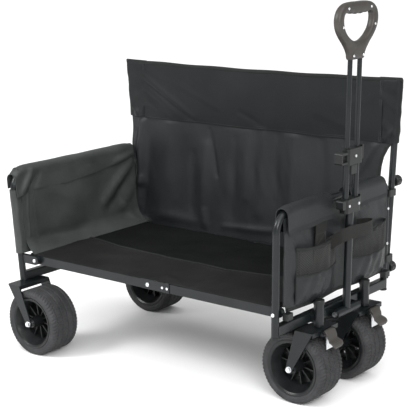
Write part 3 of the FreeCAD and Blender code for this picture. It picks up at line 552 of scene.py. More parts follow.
def back_band():
    s, t = np.meshgrid(np.linspace(0, 1, 170), np.linspace(0, 1, 46), indexing="ij")
    left, right = band_seams(BAND_LOW + t * (BACK_TOP - BAND_LOW))
    x = left - 0.010 + (right - left + 0.020) * s
    low = BAND_LOW + 0.0010 * np.sin(x * 23.0)
    z = low + t * (band_top(x) - low)
    d = 0.0012 * swell(x, z, 21, 0.16, 1.0, 0.5)
    d += 0.0005 * crumple(x, z, 5, 0.09, 0.9, 0.35) * ease(-x, -0.10, 0.35)
    fan = [
        ((-0.428, 0.725), (-0.235, 0.612), 0.0042),
        ((-0.418, 0.690), (-0.290, 0.607), 0.0022),
        ((-0.412, 0.648), (-0.325, 0.606), 0.0026),
        ((-0.400, 0.745), (-0.150, 0.650), 0.0014),
    ]
    for start, end, height in fan:
        d += ridge(x, z, start, end, 0.010, height)
        below = (start[0] + 0.004, start[1] - 0.016)
        d -= ridge(x, z, below, (end[0], end[1] - 0.012), 0.007, height * 0.7)
    d = ridges(d, x, z, [
        ((-0.060, 0.640), (0.020, 0.606), 0.009, -0.003),
        ((0.200, 0.660), (0.330, 0.615), 0.014, 0.0018),
        ((0.380, 0.720), (0.300, 0.690), 0.014, 0.0015),
    ])
    puff = 0.0030 * np.sin(math.pi * np.clip(t, 0, 1)) ** 0.7
    d = d * np.sin(math.pi * np.clip(0.06 + 0.88 * t, 0, 1)) + puff
    o = shell("back_band", row(x, 0.2532 - d, z), 0.0052, band_cloth_painted_shade)
    place(o, "handle_end", flat=(0.84, 0.17), held="hung", rests=["back_post_right"])
    squeeze(o)
    xs = np.linspace(-0.424, 0.396, 90)
    top = row(xs, 0.2556, band_top(xs) + 0.0012)
    squeeze(hem("back_top_hem", top, 0.011, 0.0082, "handle_end"))
    xs = np.linspace(-0.420, 0.388, 160)
    for k, up in enumerate((0.0042, 0.0090)):
        seam = row(xs, 0.25285, BAND_LOW + up + 0.001 * np.sin(xs * 23.0))
        squeeze(stitches("back_seam_stitches_%d" % k, seam, "handle_end"))


def post_sleeve(name, side, post, body):
    """The loop of cloth round a backrest post, sewn to the band along a vertical seam."""
    zs = np.linspace(0.5985, BACK_TOP + 0.001, 44)
    ring = SLEEVE_R
    which = 0 if side < 0 else 1
    grid = np.zeros((54, len(zs), 3))
    for j, z in enumerate(zs):
        seam = band_seams(z)[which]
        centre = post(min(z, POST_TOP))
        front = row(np.linspace(seam, centre, 18), np.linspace(0.2516, POST_Y - ring, 18))
        turn = np.linspace(-math.pi / 2, math.pi / 2, 18)
        arc = row(centre + side * ring * np.cos(turn), POST_Y + ring * np.sin(turn))
        back = row(np.linspace(centre, seam, 18), np.linspace(POST_Y + ring, 0.2588, 18))
        path = np.concatenate([front, arc, back])
        shut = 1.0 - 0.72 * float(ease(np.array(z), 0.7635, BACK_TOP))
        path[:, 1] = 0.2640 + (path[:, 1] - 0.2640) * shut
        grid[:, j, :2] = path
        grid[:, j, 2] = z
    a, b = np.meshgrid(np.arange(54) * 0.0028, zs, indexing="ij")
    places = [0, 17, 27, 36, 53]
    away = row(side * np.interp(np.arange(54), places, [0, 0.3, 1, 0.3, 0]),
               np.interp(np.arange(54), places, [-1, -1, 0, 1, 1]), 0.0)
    d = 0.0016 * swell(a, b, 31 + side, 0.05, 1.2, 0.4)
    d += 0.0020 * swell(a, b, 37 + side, 0.03, 0.3, 0.4) * (1 - ease(b, 0.60, 0.66))
    d += ridge(a, b, (0.012, 0.600), (0.045, 0.628), 0.008, 0.004)
    d = np.maximum(d, -0.0006) * (1 - ease(b, 0.750, 0.765))
    grid += away[:, None] * d[:, :, None]
    o = shell(name, grid if side > 0 else grid[::-1], COVER_THICK, band_cloth_painted_shade)
    place(o, body, flat=(0.17, 0.17), held="gathered",
          rests=["back_post_right" if side > 0 else "back_post_left"])
    seam_z = np.linspace(0.602, 0.760, 60)
    seam_x = band_seams(seam_z)[which]
    for k, inset in enumerate((0.0025, 0.0070)):
        stitches(name + "_stitches_%d" % k, row(seam_x + side * inset, 0.2514, seam_z), body)
    outer = post(POST_TOP) + side * ring
    inner = band_seams(0.766)[which]
    xs = np.linspace(min(inner, outer), max(inner, outer), 16)
    top = row(xs, 0.2556 + 0.008 * np.abs(xs - inner) / 0.066, BACK_TOP + 0.0018)
    hem(name + "_top_hem", top, 0.011, 0.0078, body)


back_wall()
back_band()
post_sleeve("back_sleeve_left", -1, left_back_post, "fixed_end")
post_sleeve("back_sleeve_right", 1, right_back_post, "handle_end")


# ---- end panels ----
def arm_height(y, share):
    """Height that a cover follows: it takes a share of the tube's bend down at both ends."""
    past = min(max(0.0, abs(y) - (HOOP_Y - ARM_BEND)), 0.0449)
    return ARM_Z - share * (ARM_BEND - math.sqrt(ARM_BEND ** 2 - past ** 2))


def over_tube(post, side, radius, inner_z, outer_z, samples, arm=ARM_Z):
    """Points (x, z) up the inner face, over the armrest tube and down the outer face.
    `side` is +1 where the inside of the wagon lies towards +X, `samples` their numbers."""
    up = np.linspace(inner_z, arm, samples[0])
    inner = [(post(z) + side * radius, z, side, 0.0) for z in up]
    over = []
    for t in np.linspace(0, math.pi, samples[1])[1:-1]:
        over.append((post(arm) + side * radius * math.cos(t), arm + radius * math.sin(t),
                     side * math.cos(t), math.sin(t)))
    down = np.linspace(arm, outer_z, samples[2])
    outer = [(post(z) - side * radius, z, -side, 0.0) for z in down]
    return np.array(inner + over + outer)


def wrapped(ys, path, push):
    """A grid of points (y by path) pushed out by `push` along the path's own normal."""
    grid = np.zeros((len(ys), len(path), 3))
    grid[:, :, 0] = path[None, :, 0] + push * path[None, :, 2]
    grid[:, :, 1] = ys[:, None]
    grid[:, :, 2] = path[None, :, 1] + push * path[None, :, 3]
    return grid


def left_end():
    ys = np.linspace(-0.2365, 0.2355, 120)
    path = over_tube(left_post, 1, 0.0126, 0.2742, 0.470, (58, 11, 6))
    inner = (path[:, 2] > 0.5)[None]
    a, b = np.meshgrid(ys, path[:, 1], indexing="ij")
    d = 0.0028 * swell(a, b, 41, 0.20, 0.6, 0.5) + 0.0007 * crumple(a, b, 44, 0.09, 0.8, 0.4)
    d = ridges(d, a, b, [
        ((0.222, 0.462), (0.085, 0.365), 0.017, 0.0100),
        ((0.205, 0.415), (0.100, 0.335), 0.014, -0.0050),
        ((0.226, 0.385), (0.150, 0.325), 0.014, 0.0040),
        ((0.165, 0.345), (0.218, 0.283), 0.011, 0.0045),
        ((0.150, 0.320), (0.200, 0.280), 0.010, -0.0030),
        ((0.030, 0.420), (-0.080, 0.320), 0.045, 0.006),
        ((-0.190, 0.305), (-0.020, 0.290), 0.018, -0.006),
        ((-0.150, 0.440), (-0.050, 0.400), 0.020, 0.004),
    ])
    edge = ease(0.2355 - np.abs(a), 0.0, 0.02) * (0.1 + 0.9 * ease(b, 0.2742, 0.305))
    edge *= 1 - ease(b, 0.455, 0.495)
    d = np.where(inner, d * edge, 0.0)
    grid = wrapped(ys, path, np.clip(d, -0.0090, 0.017))
    # its foot curves in to the seat
    foot = np.clip((0.320 - grid[:, :, 2]) / 0.0458, 0.0, 1.0) * inner
    grid[:, :, 0] += 0.0315 * foot ** 2
    o = shell("end_left_wall", grid[:, ::-1], WALL_THICK, end_cloth_painted_light)
    place(o, "fixed_end", flat=(0.49, 0.30), held="hung", rests=["hoop_left"],
          node=["end_panel_left"])

    # the armrest cover, folded over the tube, its hem hanging on the inside
    ys = np.linspace(-0.2545, 0.2310, 110)
    hem_z = np.interp(ys, [-0.255, -0.235, -0.200, -0.060, 0.090, 0.150, 0.231],
                      [0.436, 0.440, 0.449, 0.446, 0.458, 0.468, 0.483])
    grid = np.zeros((len(ys), 52, 3))
    for i, y in enumerate(ys):
        path = over_tube(left_post, 1, 0.0160, hem_z[i], 0.458, (26, 13, 15), arm_height(y, 0.42))
        grid[i, :, 0] = path[:, 0]
        grid[i, :, 1] = y
        grid[i, :, 2] = path[:, 1]
        a = np.full(52, y)
        b = path[:, 1]
        down = np.arange(52) / 26.0
        d = 0.0018 * swell(a, b, 51, 0.12, 0.4, 0.5) + 0.0008 * crumple(a, b, 53, 0.06, 0.7, 0.5)
        d = ridges(d, a, b, [
            ((-0.238, 0.440), (-0.192, 0.500), 0.010, 0.008),
            ((-0.205, 0.446), (-0.165, 0.490), 0.010, -0.004),
            ((0.225, 0.490), (0.150, 0.475), 0.010, 0.006),
        ])
        d += 0.0030 * np.clip(1 - down * 1.6, 0, 1) * (1 + np.sin(y * 40.0)) / 2
        inside = np.arange(52) < 27
        loose = np.where(inside, np.clip(d, -0.0014, 0.011), np.clip(d * 0.4, -0.001, 0.003))
        grid[i, :, 0] += loose * path[:, 2]
        grid[i, :, 2] += loose * path[:, 3]
    cover = shell("end_left_cover", grid[:, ::-1], COVER_THICK, end_cloth_painted_light)
    place(cover, "fixed_end", flat=(0.49, 0.13), held="draped", rests=["hoop_left"])
    for k, up in enumerate((0.004, 0.009)):
        line = grid[4:-4, 0] + np.array([0.0005, 0, up])
        line[:, 0] = np.maximum(line[:, 0], grid[4:-4, 2, 0] + 0.0004)
        stitches("end_left_hem_stitches_%d" % k, line, "fixed_end")

    # sleeve round the near post
    zs = np.linspace(0.2775, 0.4560, 44)
    grid = np.zeros((52, len(zs), 3))
    ring = SLEEVE_R
    for j, z in enumerate(zs):
        x = left_post(z)
        flat_in = row(x + 0.0150, np.linspace(-0.190, -HOOP_Y, 20))
        flat_in[:, 0] -= np.linspace(0, 0.0150 - ring, 20)
        turn = np.linspace(0, math.pi, 18)[1:-1]
        arc = row(x + ring * np.cos(turn), -HOOP_Y - ring * np.sin(turn))
        flat_out = row(x - ring, np.linspace(-HOOP_Y, -0.212, 16))
        grid[:, j, :2] = np.concatenate([flat_in, arc, flat_out])
        grid[:, j, 2] = z
    a, b = np.meshgrid(np.arange(52) * 0.0028, zs, indexing="ij")
    d = 0.0012 * swell(a, b, 61, 0.05, 0.1, 0.3)
    d += ridge(a, b, (0.020, 0.455), (0.030, 0.300), 0.006, 0.0022)
    d = np.maximum(d, -0.0004)
    places = [0, 20, 28, 36, 51]
    out_x = np.interp(np.arange(52), places, [1, 1, 0, -1, -1])
    out_y = np.interp(np.arange(52), places, [0, 0, -1, 0, 0])
    grid[:, :, 0] += out_x[:, None] * d
    grid[:, :, 1] += out_y[:, None] * d
    sleeve = shell("end_left_sleeve", grid[::-1], COVER_THICK, end_cloth_painted_light)
    place(sleeve, "fixed_end", flat=(0.135, 0.18), held="stretched", rests=["hoop_left"])
    seam_z = np.linspace(0.281, 0.450, 50)
    for k, y in enumerate((-0.1915, -0.1965)):
        line = row(left_post(seam_z) + 0.0163, y, seam_z)
        stitches("end_left_sleeve_stitches_%d" % k, line, "fixed_end")


left_end()


def right_end():
    wall_y = np.linspace(-0.2330, 0.2330, 110)
    bottom = np.interp(wall_y, [-0.233, -0.10, 0.0, 0.12, 0.233], [0.262, 0.256, 0.263, 0.256, 0.260])
    a = np.repeat(wall_y[:, None], 60, axis=1)
    b = bottom[:, None] + (0.492 - bottom[:, None]) * np.linspace(0, 1, 60)[None]
    d = 0.0016 * swell(a, b, 71, 0.11, 0.4, 0.6) + 0.0009 * crumple(a, b, 73, 0.05, 0.6, 0.5)
    d = ridges(d, a, b, [
        ((-0.205, 0.440), (-0.160, 0.300), 0.012, 0.004),
        ((0.030, 0.480), (0.010, 0.300), 0.015, -0.003),
    ])
    d = np.clip(d, -0.0022, 0.0045) * ease(b, 0.256, 0.275)
    # the lower corners are lifted clear of the rails
    corner = (np.abs(a) > 0.222) & (b < 0.277)
    grid = row(right_post(b) + 0.0122 + d, a, np.where(corner, 0.277 + 0.001 * (b - 0.25), b))
    o = shell("end_right_wall", grid, WALL_THICK, polyester)
    place(o, "handle_end", flat=(0.48, 0.24), held="hung", rests=["hoop_right"],
          node=["end_panel_right"])
    seam_z = np.linspace(0.285, 0.452, 60)
    for k, y in enumerate((-0.2285, 0.2285)):
        line = row(right_post(seam_z) + 0.0126, y, seam_z)
        stitches("end_right_edge_stitches_%d" % k, line, "handle_end", radius=0.0006)
    low = row(grid[4:-4, 0, 0] - 0.001, wall_y[4:-4], np.maximum(bottom[4:-4], 0.2555))
    low = low[np.abs(low[:, 1]) < 0.219]
    hem("end_right_bottom_hem", low, 0.010, 0.0046, "handle_end", (0, 0, 1), (1, 0, 0))

    # armrest covers each side of the handle
    for tag, y0, y1, hems in (("near", -0.226, -0.038, (0.452, 0.457)),
                              ("far", 0.044, 0.216, (0.462, 0.466))):
        ys = np.linspace(y0, y1, 60)
        grid = np.zeros((60, 52, 3))
        for i, y in enumerate(ys):
            share = i / 59.0
            hem_z = hems[0] + (hems[1] - hems[0]) * share + 0.0012 * math.sin(y * 60.0)
            path = over_tube(right_post, -1, 0.0158, 0.450, hem_z, (15, 13, 26), arm_height(y, 0.7))
            d = 0.0012 + 0.0016 * swell(np.full(52, y), path[:, 1], 81, 0.16, 0.9, 0.5)
            d += 0.0012 * math.sin(math.pi * share) * np.clip(path[:, 3], 0, 1)
            d += np.interp(np.arange(52), [27, 45, 51], [0.0, 0.0, 0.0026])
            d = np.clip(d, -0.0012, 0.006)
            grid[i, :, 0] = path[:, 0] + d * path[:, 2]
            grid[i, :, 1] = y
            grid[i, :, 2] = path[:, 1] + d * path[:, 3]
        cover = shell("end_right_cover_" + tag, grid, COVER_THICK, polyester)
        place(cover, "handle_end", flat=(y1 - y0, 0.135), held="draped", rests=["hoop_right"])
        line = grid[2:-2, -1] + np.array([0.0005, 0, 0.004])
        line[:, 0] = np.maximum(line[:, 0], grid[2:-2, -3, 0] + 0.0004)
        stitches("end_right_cover_stitches_" + tag, line, "handle_end")


right_end()


# ---- pockets ----
PANEL_FACE = 0.0142          # from the hoop's centre to the pocket's back edge
POCKET_DEPTH = 0.0225
NET_CELL = (0.0084, 0.0062)  # width along the bulge, and height
NET_BULGE = 1.15             # length along the bulge over the pocket's width


def pocket_surface(y0, y1, low, high, s, t):
    """A pouch: s across, t up. It bulges most a third of the way up and gapes at its mouth."""
    y = y0 + (y1 - y0) * s
    lift = low + 0.010 * (1 - np.clip(np.sin(math.pi * s), 0, 1) ** 0.35)
    z = lift + (high - lift) * t - 0.007 * np.sin(math.pi * s) * t ** 3
    across = np.clip(np.sin(math.pi * np.clip(s, 0, 1)), 0, 1) ** 0.55
    upward = np.interp(t, [0.0, 0.06, 0.16, 0.40, 0.75, 1.0], [0.02, 0.34, 0.72, 0.98, 0.80, 0.72])
    crease = 0.0016 * np.sin(s * 17.0 + t * 5.0) + 0.0012 * np.sin(s * 31.0 - t * 9.0)
    x = right_post(z) + PANEL_FACE + POCKET_DEPTH * across * upward + crease * across
    return row(x, y, z)


def pocket(tag, y0, y1, low, seam, high):
    def at(s, t):
        return pocket_surface(y0, y1, low, high, s, t)

    split = (seam - low) / (high - low)
    s, t = np.meshgrid(np.linspace(0, 1, 60), np.linspace(0, split, 30), indexing="ij")
    solid = shell("pocket_%s_pouch" % tag, at(s, t), LIGHT_THICK, polyester)
    place(solid, "handle_end", flat=(0.20, 0.095), held="gathered", rests=["hoop_right"],
          node=["pockets"] if tag == "near" else ())
    # the net above the seam, knitted in diamonds about 7 mm wide and 6 mm high
    cols = int(round((y1 - y0) * NET_BULGE / NET_CELL[0]))
    rows = int(round((high - seam) / NET_CELL[1]))
    strands = []
    for first in range(-rows, cols + rows):
        for lean in (1, -1):
            k = np.arange(rows + 1)
            c = (first + lean * k) / cols
            keep = (c >= 0) & (c <= 1)
            if keep.sum() > 1:
                tt = split + (1 - split) * k[keep] / rows
                strands.append(at(c[keep], tt))
    mesh = cord_mesh("pocket_%s_net" % tag, strands, 0.00056, net, 4)
    place(mesh, "handle_end")
    s = np.linspace(0.0, 1.0, 60)
    for what, t, height, thick in (("mouth", 1.0, 0.0085, 0.0036), ("seam", split, 0.0055, 0.0030)):
        line = at(s, np.full(60, t))
        hem("pocket_%s_%s" % (tag, what), line, height, thick, "handle_end", (0, 0, -1), (1, 0, 0))
    for k, edge in enumerate((0.0, 1.0)):
        side = at(np.full(30, edge), np.linspace(0.04, 1.0, 30))
        hem("pocket_%s_side_%d" % (tag, k), side, 0.007, 0.0028, "handle_end",
            (0, 1 - 2 * edge, 0), (1, 0, 0))


pocket("near", -0.186, -0.018, 0.264, 0.342, 0.412)
pocket("far", 0.052, 0.222, 0.260, 0.334, 0.404)


# ---- strap round the handle ----
def strap():
    face = right_post(0.42) + 0.0166
    route = [
        (face + 0.001, -0.066), (face + 0.006, -0.056), (0.4655, -0.042), (0.4738, -0.024),
        (0.4755, 0.000), (0.4745, 0.040), (0.4690, 0.085), (0.4600, 0.116),
        (0.4490, 0.122), (face + 0.001, 0.104), (face, 0.080),
    ]
    line = smooth_line(route, 10)
    run = lengths(line)
    top = np.interp(run / run[-1], [0, 0.07, 0.16, 0.28, 0.75, 1],
                    [0.408, 0.418, 0.434, 0.438, 0.426, 0.430])
    grid = np.zeros((len(line), 7, 3))
    for j in range(7):
        grid[:, j, :2] = line
        grid[:, j, 2] = top - 0.034 * (1 - j / 6.0)
    grid[:, :, 0] += 0.0008 * np.sin(run[:, None] * 60.0 + np.arange(7)[None])
    loop = shell("strap_loop", grid, WEBBING_THICK, webbing)
    place(loop, "handle_end", "webbing", flat=(0.28, 0.034), held="hung", rests=["hoop_right"],
          node=["strap"])
    # the sewn tab that the loop comes from
    s, t = np.meshgrid(np.linspace(0, 1, 12), np.linspace(0, 1, 24), indexing="ij")
    z = 0.352 + 0.104 * t
    x = right_post(z) + 0.0176 + 0.0010 * np.sin(t * 9.0)
    x += 0.0022 * ease(t, 0.35, 0.55)
    tab = shell("strap_tab", row(x, -0.112 + 0.046 * s, z), WEBBING_THICK, webbing)
    place(tab, "handle_end", "webbing", flat=(0.046, 0.104), held="hung", rests=["hoop_right"])
    corners = [(-0.108, 0.402), (-0.070, 0.402), (-0.070, 0.430), (-0.108, 0.430)]
    outline = corners + corners[:1] + [corners[2]]
    line = np.concatenate([np.linspace(p, q, 12) for p, q in zip(outline, outline[1:])])
    box_line = row(right_post(0.43) + 0.0204, line[:, 0], line[:, 1])
    stitches("strap_box_stitch", box_line, "handle_end", 0.0040, 0.0028)


strap()


# ---- seat and the let-down front wall ----
def across_fold(o):
    """Bakes a seat cloth's transform into its mesh."""
    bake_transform(o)


def seat():
    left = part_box("floor_left")[0].x
    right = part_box("floor_right")[1].x + 0.0266          # reaches the end panel
    near = -0.222
    far = 0.2365
    s, t = np.meshgrid(np.linspace(left, right, 152), np.linspace(near, far, 70), indexing="ij")
    inset = np.minimum(np.minimum(s - left, right - s), np.minimum(t - near, far - t))
    soft = ease(inset, 0.0, 0.014)
    z = 0.2735 + 0.0022 * soft + 0.0004 * swell(s, t, 91, 0.10, 0.7, 0.9)
    z -= 0.0016 * np.exp(-((s - 0.130) / 0.004) ** 2) + 0.0012 * np.exp(-((s + 0.140) / 0.004) ** 2)
    z -= 0.0014 * np.exp(-((s - HINGE_X) / 0.004) ** 2)
    z = np.where(t < 0.0, np.minimum(z, 0.2748), z)
    o = shell("seat_mat", row(s, t, z), 0.0050, mat_cloth)
    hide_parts("floor_left", "floor_right")
    across_fold(o)


def flap():
    """The front wall lies on the seat. Its free edge runs along the middle in a soft line."""
    s, t = np.meshgrid(np.linspace(-0.4340, 0.3980, 174), np.linspace(0, 1, 60), indexing="ij")
    far = np.interp(s, [-0.42, -0.35, -0.273, -0.180, -0.084, 0.020, 0.123, 0.180, 0.243, 0.390],
                    [-0.006, -0.022, -0.040, -0.0425, -0.043, -0.049, -0.058, -0.044, -0.026, -0.020])
    near = -0.2370
    y = near + (far - near) * t
    z = 0.2766 + 0.0004 * swell(s, y, 95, 0.12, 0.5, 0.8)
    z += 0.0042 * np.exp(-((y - far) / 0.013) ** 2) * (0.60 + 0.40 * np.sin(s * 17.0))
    z = ridges(z, s, y, [
        ((-0.400, -0.060), (-0.300, -0.200), 0.026, 0.0036),
        ((-0.330, -0.180), (-0.120, -0.060), 0.026, 0.0030),
        ((0.128, -0.060), (0.124, -0.113), 0.0040, -0.0022),
        ((0.124, -0.113), (0.138, -0.238), 0.0050, -0.0022),
        ((0.150, -0.075), (0.160, -0.220), 0.014, 0.0026),
        ((0.030, -0.190), (0.110, -0.225), 0.014, 0.0030),
    ])
    z -= 0.0014 * np.exp(-((s - HINGE_X) / 0.0035) ** 2)
    z = np.maximum(z, 0.2760)
    z -= 0.0016 * (1 - ease(y, -0.2372, -0.2330))
    o = shell("front_wall_flap", row(s, y, z), LIGHT_THICK, lining)
    place(o, None, flat=(0.84, 0.21), held="folded", rests=["floor_left"],
          node=["front_wall_left", "front_wall_right"])
    across_fold(o)
    edge = row(s[:, -1], far[:, -1] - 0.001, z[:, -1] - 0.0004)
    across_fold(hem("front_wall_flap_hem", edge, 0.009, 0.0030, None, (0, -1, 0), (0, 0, 1)))


seat()
flap()


# ---- tyres ----
def tyre(node, body, spin):
    low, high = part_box(node)
    centre = (low + high) / 2
    half = (high.y - low.y) / 2
    big = (high.z - low.z) / 2
    rim = 0.0721                 # inner radius
    pitch = 60                   # tread blocks round the tyre
    side = [(rim, -half + 0.0035), (rim + 0.004, -half + 0.0012),
            (rim + 0.0065, -half + 0.0002), (big - 0.0130, -half + 0.0002),
            (big - 0.0122, -half + 0.0010), (big - 0.0110, -half + 0.0006)]
    turn = np.linspace(math.radians(12), math.radians(84), 9)
    shoulder = [(big - 0.0105 + 0.0100 * math.sin(t), -half + 0.0105 - 0.0100 * math.cos(t))
                for t in turn]
    flat = [(big - 0.0002, y) for y in np.linspace(-half + 0.0118, half - 0.0118, 66)]
    mirrored = [(r, -y) for r, y in reversed(side + shoulder)]
    profile = np.array(side + shoulder + flat + mirrored)
    count = 360
    angle = np.linspace(0, 2 * math.pi, count, endpoint=False) + spin
    q, r = np.meshgrid(angle, profile[:, 0], indexing="ij")
    y = np.repeat(profile[None, :, 1], count, axis=0)
    worn = np.where(r > big - 0.0085, 1.0, 0.0)
    cut = np.zeros_like(r)
    for k, groove in enumerate((-0.030, -0.010, 0.010, 0.030)):
        zigzag = groove + 0.0009 * np.sign(np.sin(q * pitch + k))
        cut = np.maximum(cut, 0.0036 * np.exp(-((y - zigzag) / 0.0017) ** 4))
    lugs = np.sin(q * pitch + np.abs(y) * 260.0)
    cut = np.maximum(cut, 0.0017 * (np.abs(y) > 0.0345) * (lugs > 0.35))
    sipes = np.sin(q * 2 * pitch + y * 420.0)
    cut = np.maximum(cut, 0.0011 * (np.abs(y) < 0.0335) * (sipes > 0.55))
    r = r - cut * worn
    points = row(centre.x + r * np.cos(q), centre.y + y, centre.z + r * np.sin(q))
    faces = ring_faces(count, len(profile))
    o = new_object(node + "_tread", points.reshape(-1, 3), faces, tyre_rubber, angle=30)
    place(o, body, "tyre", node=[node])


for number, tag in enumerate(("near", "far", "left_near", "left_far")):
    tyre("tyre_" + tag, "wheel_" + tag, 0.1 * number)


# ---- brake pedals ----
def pedal(tag, y0):
    """A moulded foot lever: a pad on the pin and a wider lip below it."""
    px, pz = 0.4714, 0.190       # the pin
    route = smooth_line([(-0.003, 0.004), (0.004, 0.0045), (0.0095, -0.003), (0.0135, -0.0135),
                         (0.0175, -0.0185), (0.0240, -0.0215), (0.0290, -0.0265), (0.0305, -0.0335)], 8)
    run = lengths(route) / lengths(route)[-1]
    wide = np.interp(run, [0, 0.05, 0.12, 0.40, 0.52, 0.62, 0.80, 0.92, 0.98, 1.0],
                     [0.014, 0.018, 0.020, 0.020, 0.0175, 0.0222, 0.023, 0.0205, 0.0160, 0.0120])
    thick = np.interp(run, [0, 0.06, 0.5, 0.94, 1.0], [0.0022, 0.0032, 0.0026, 0.0024, 0.0010])
    ahead = np.gradient(route, axis=0)
    ahead /= np.linalg.norm(ahead, axis=1, keepdims=True)
    sides = 36
    points = []
    for i, (c, a) in enumerate(zip(route, ahead)):
        ribs = 0.0004 * math.sin(run[i] * 95.0) * (run[i] > 0.62) * (run[i] < 0.95)
        for k in range(sides):
            t = 2 * math.pi * k / sides
            across = wide[i] * squared(math.cos(t), 0.35)
            through = (thick[i] + ribs * (math.sin(t) > 0.3)) * squared(math.sin(t), 0.6)
            points.append((px + c[0] - a[1] * through, y0 + across, pz + c[1] + a[0] * through))
    faces = tube_faces(len(route), sides)
    o = new_object("pedal_pad_" + tag, points, faces, taupe_plastic, angle=55)
    place(o, "pedal_body_" + tag, "taupe_plastic", node=["pedal_" + tag])
    pin = row(px, y0 + np.linspace(-0.0218, 0.0218, 24), pz)
    barrel = cord_mesh("pedal_barrel_" + tag, [pin], 0.0049, taupe_plastic, 20)
    place(barrel, "pedal_body_" + tag, "taupe_plastic")


pedal("near", -0.105)
pedal("far", 0.105)


# ---- handle grip ----
def leaned(p):
    """Leans points of the upright handle as the real one leans."""
    p = np.asarray(p, float)
    x = p[..., 0]
    z = p[..., 2] - HANDLE_Z
    out = p.copy()
    out[..., 0] = HANDLE_X + x * math.cos(HANDLE_LEAN) + z * math.sin(HANDLE_LEAN)
    out[..., 2] = HANDLE_Z + z * math.cos(HANDLE_LEAN) - x * math.sin(HANDLE_LEAN)
    return out


# outer y, z and inner y, z of the +Y half of the grip, from the middle of its top bar to the neck
GRIP_LINES = [
    (0.0000, 0.9806, 0.0000, 0.9535), (0.0300, 0.9806, 0.0210, 0.9540), (0.0560, 0.9776, 0.0430, 0.9560),
    (0.0740, 0.9680, 0.0590, 0.9530), (0.0850, 0.9530, 0.0640, 0.9430), (0.0880, 0.9350, 0.0625, 0.9290),
    (0.0825, 0.9165, 0.0560, 0.9150), (0.0690, 0.8985, 0.0440, 0.9030), (0.0510, 0.8810, 0.0300, 0.8945),
    (0.0380, 0.8650, 0.0170, 0.8895), (0.0318, 0.8530, 0.0080, 0.8880), (0.0300, 0.8442, 0.0040, 0.8874),
    (0.0160, 0.8436, 0.0015, 0.8871),
]
GRIP_DEPTH = 0.0109          # half the grip's thickness


def grip():
    half = np.array(GRIP_LINES)
    other = half[1:][::-1].copy()
    other[:, 0] *= -1
    other[:, 2] *= -1
    foot = np.array([[0.0, 0.8436, 0.0, 0.8871]])
    loop = np.concatenate([half, foot, other])
    n = len(loop)
    rows = []
    for i in range(n):
        a, b, c, d = loop[i - 1], loop[i], loop[(i + 1) % n], loop[(i + 2) % n]
        for t in np.linspace(0, 1, 8, endpoint=False):
            rows.append(between(a, b, c, d, t))
    rows = np.array(rows)
    # waves for the fingers under the top bar
    fingers = (np.abs(rows[:, 2]) < 0.044) & (rows[:, 3] > 0.950)
    rows[:, 3] -= np.where(fingers, 0.0026 * np.abs(np.sin(rows[:, 2] * math.pi / 0.022)), 0.0)
    sides = 28
    points = []
    for oy, oz, iy, iz in rows:
        mid_y = (oy + iy) / 2
        mid_z = (oz + iz) / 2
        for k in range(sides):
            t = 2 * math.pi * k / sides
            seam = 0.0004 if abs(math.sin(t)) < 0.05 else 0.0
            c = squared(math.cos(t), 0.72) - seam
            s = squared(math.sin(t), 0.72)
            points.append((GRIP_DEPTH * s, mid_y + (oy - iy) / 2 * c, mid_z + (oz - iz) / 2 * c))
    faces = [(a, d, c, b) for a, b, c, d in ring_faces(len(rows), sides)]
    o = new_object("grip_body", leaned(points), faces, taupe_plastic, angle=50)
    place(o, "grip_stage", "taupe_plastic", node=["grip"])


def dome(points, faces, centre, radius, height):
    """A domed screw head facing +X with a crossed recess, added to a mesh in the making."""
    first = len(points)
    rings = [(1.0, -0.6), (1.0, 0.1), (0.86, 0.62), (0.52, 0.95), (0.30, 1.0), (0.22, 0.45)]
    sides = 16
    for share, up in rings:
        for k in range(sides):
            t = 2 * math.pi * k / sides
            points.append((centre[0] + height * up, centre[1] + radius * share * math.cos(t),
                           centre[2] + radius * share * math.sin(t)))
    faces += tube_faces(len(rings), sides, first)


def grip_heads():
    points = []
    faces = []
    for y, z in ((0.050, 0.9660), (0.0705, 0.9240), (0.021, 0.854)):
        for side in (-1, 1):
            dome(points, faces, (0.0107, side * y, z), 0.0034, 0.0014)
    o = new_object("grip_screw_heads", leaned(points), faces, zinc)
    place(o, "grip_stage", "zinc", node=["grip_screws"])


grip()
grip_heads()


def frame_rivets():
    """Rivets that hold the cloth to the right hoop."""
    points = []
    faces = []
    for z in (0.330, 0.425):
        dome(points, faces, (right_post(z) + TUBE - 0.0004, HOOP_Y, z), 0.0040, 0.0016)
    place(new_object("hoop_rivets", points, faces, zinc), "handle_end", "zinc")


frame_rivets()


# ---- stage ----
scene = bpy.context.scene
FLOOR = 60.0                 # half its side
WORLD_STRENGTH = 0.55
SUN_STRENGTH = 2.4
SUN_ANGLE = math.radians(75)  # a wide sun, for soft shadows
CAMERA_PLACE = (1.9973, -2.4479, 1.1473)
LENS = 105.9


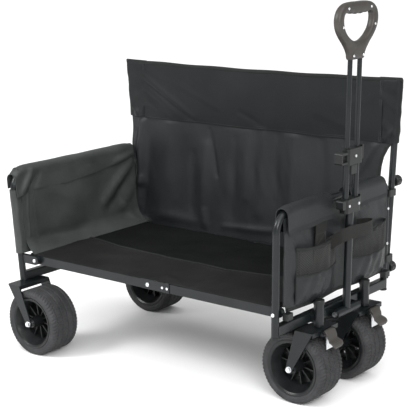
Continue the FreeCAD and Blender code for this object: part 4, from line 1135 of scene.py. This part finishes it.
def stage():
    mesh = bpy.data.meshes.new("floor")
    corners = [(-FLOOR, -FLOOR, 0), (FLOOR, -FLOOR, 0), (FLOOR, FLOOR, 0), (-FLOOR, FLOOR, 0)]
    mesh.from_pydata(corners, [], [(0, 1, 2, 3)])
    floor = bpy.data.objects.new("floor", mesh)
    scene.collection.objects.link(floor)
    mesh.materials.append(material("floor_look", (0.93, 0.93, 0.93), 0.9, 0.0, 0.1)[0])
    world = bpy.data.worlds.new("studio")
    scene.world = world
    world.use_nodes = True
    background = world.node_tree.nodes["Background"]
    background.inputs["Color"].default_value = (1.0, 1.0, 1.0, 1.0)
    background.inputs["Strength"].default_value = WORLD_STRENGTH
    # the default, AgX, makes the black cloth look grey
    scene.view_settings.view_transform = "Standard"


def shine(o, direction):
    """Turns a light to a direction and puts it in the scene."""
    o.rotation_mode = "QUATERNION"
    o.rotation_quaternion = direction.to_track_quat("-Z", "Y")
    scene.collection.objects.link(o)


def lamp(name, where, aim, size, power):
    data = bpy.data.lights.new(name, "AREA")
    data.shape = "RECTANGLE"
    data.size = size[0]
    data.size_y = size[1]
    data.energy = power
    o = bpy.data.objects.new(name, data)
    o.location = where
    shine(o, Vector(aim) - Vector(where))


def camera():
    """The photographer's place: right of the front, a little above the wagon."""
    a = math.radians(39.16)      # round the wagon
    e = math.radians(12.81)      # above it
    roll = math.radians(-1.09)
    right0 = Vector((math.cos(a), math.sin(a), 0))
    ahead = Vector((-math.sin(a) * math.cos(e), math.cos(a) * math.cos(e), -math.sin(e)))
    up0 = right0.cross(ahead)
    right = math.cos(roll) * right0 + math.sin(roll) * up0
    up = -math.sin(roll) * right0 + math.cos(roll) * up0
    data = bpy.data.cameras.new("camera")
    data.lens = LENS
    data.sensor_width = 36.0
    o = bpy.data.objects.new("camera", data)
    scene.collection.objects.link(o)
    turn = Matrix((right, up, -ahead)).transposed()
    o.matrix_world = Matrix.Translation(CAMERA_PLACE) @ turn.to_4x4()
    bpy.context.scene.camera = o


stage()
lamp("key", (-1.6, -2.6, 2.6), (0.0, 0.0, 0.4), (1.3, 1.3), 95.0)
lamp("side", (2.6, -2.0, 1.9), (0.0, 0.0, 0.4), (1.2, 1.2), 60.0)
sun = bpy.data.lights.new("overcast", "SUN")
sun.energy = SUN_STRENGTH
sun.angle = SUN_ANGLE
shine(bpy.data.objects.new("overcast", sun), Vector((-0.45, 0.35, -1.0)))
camera()
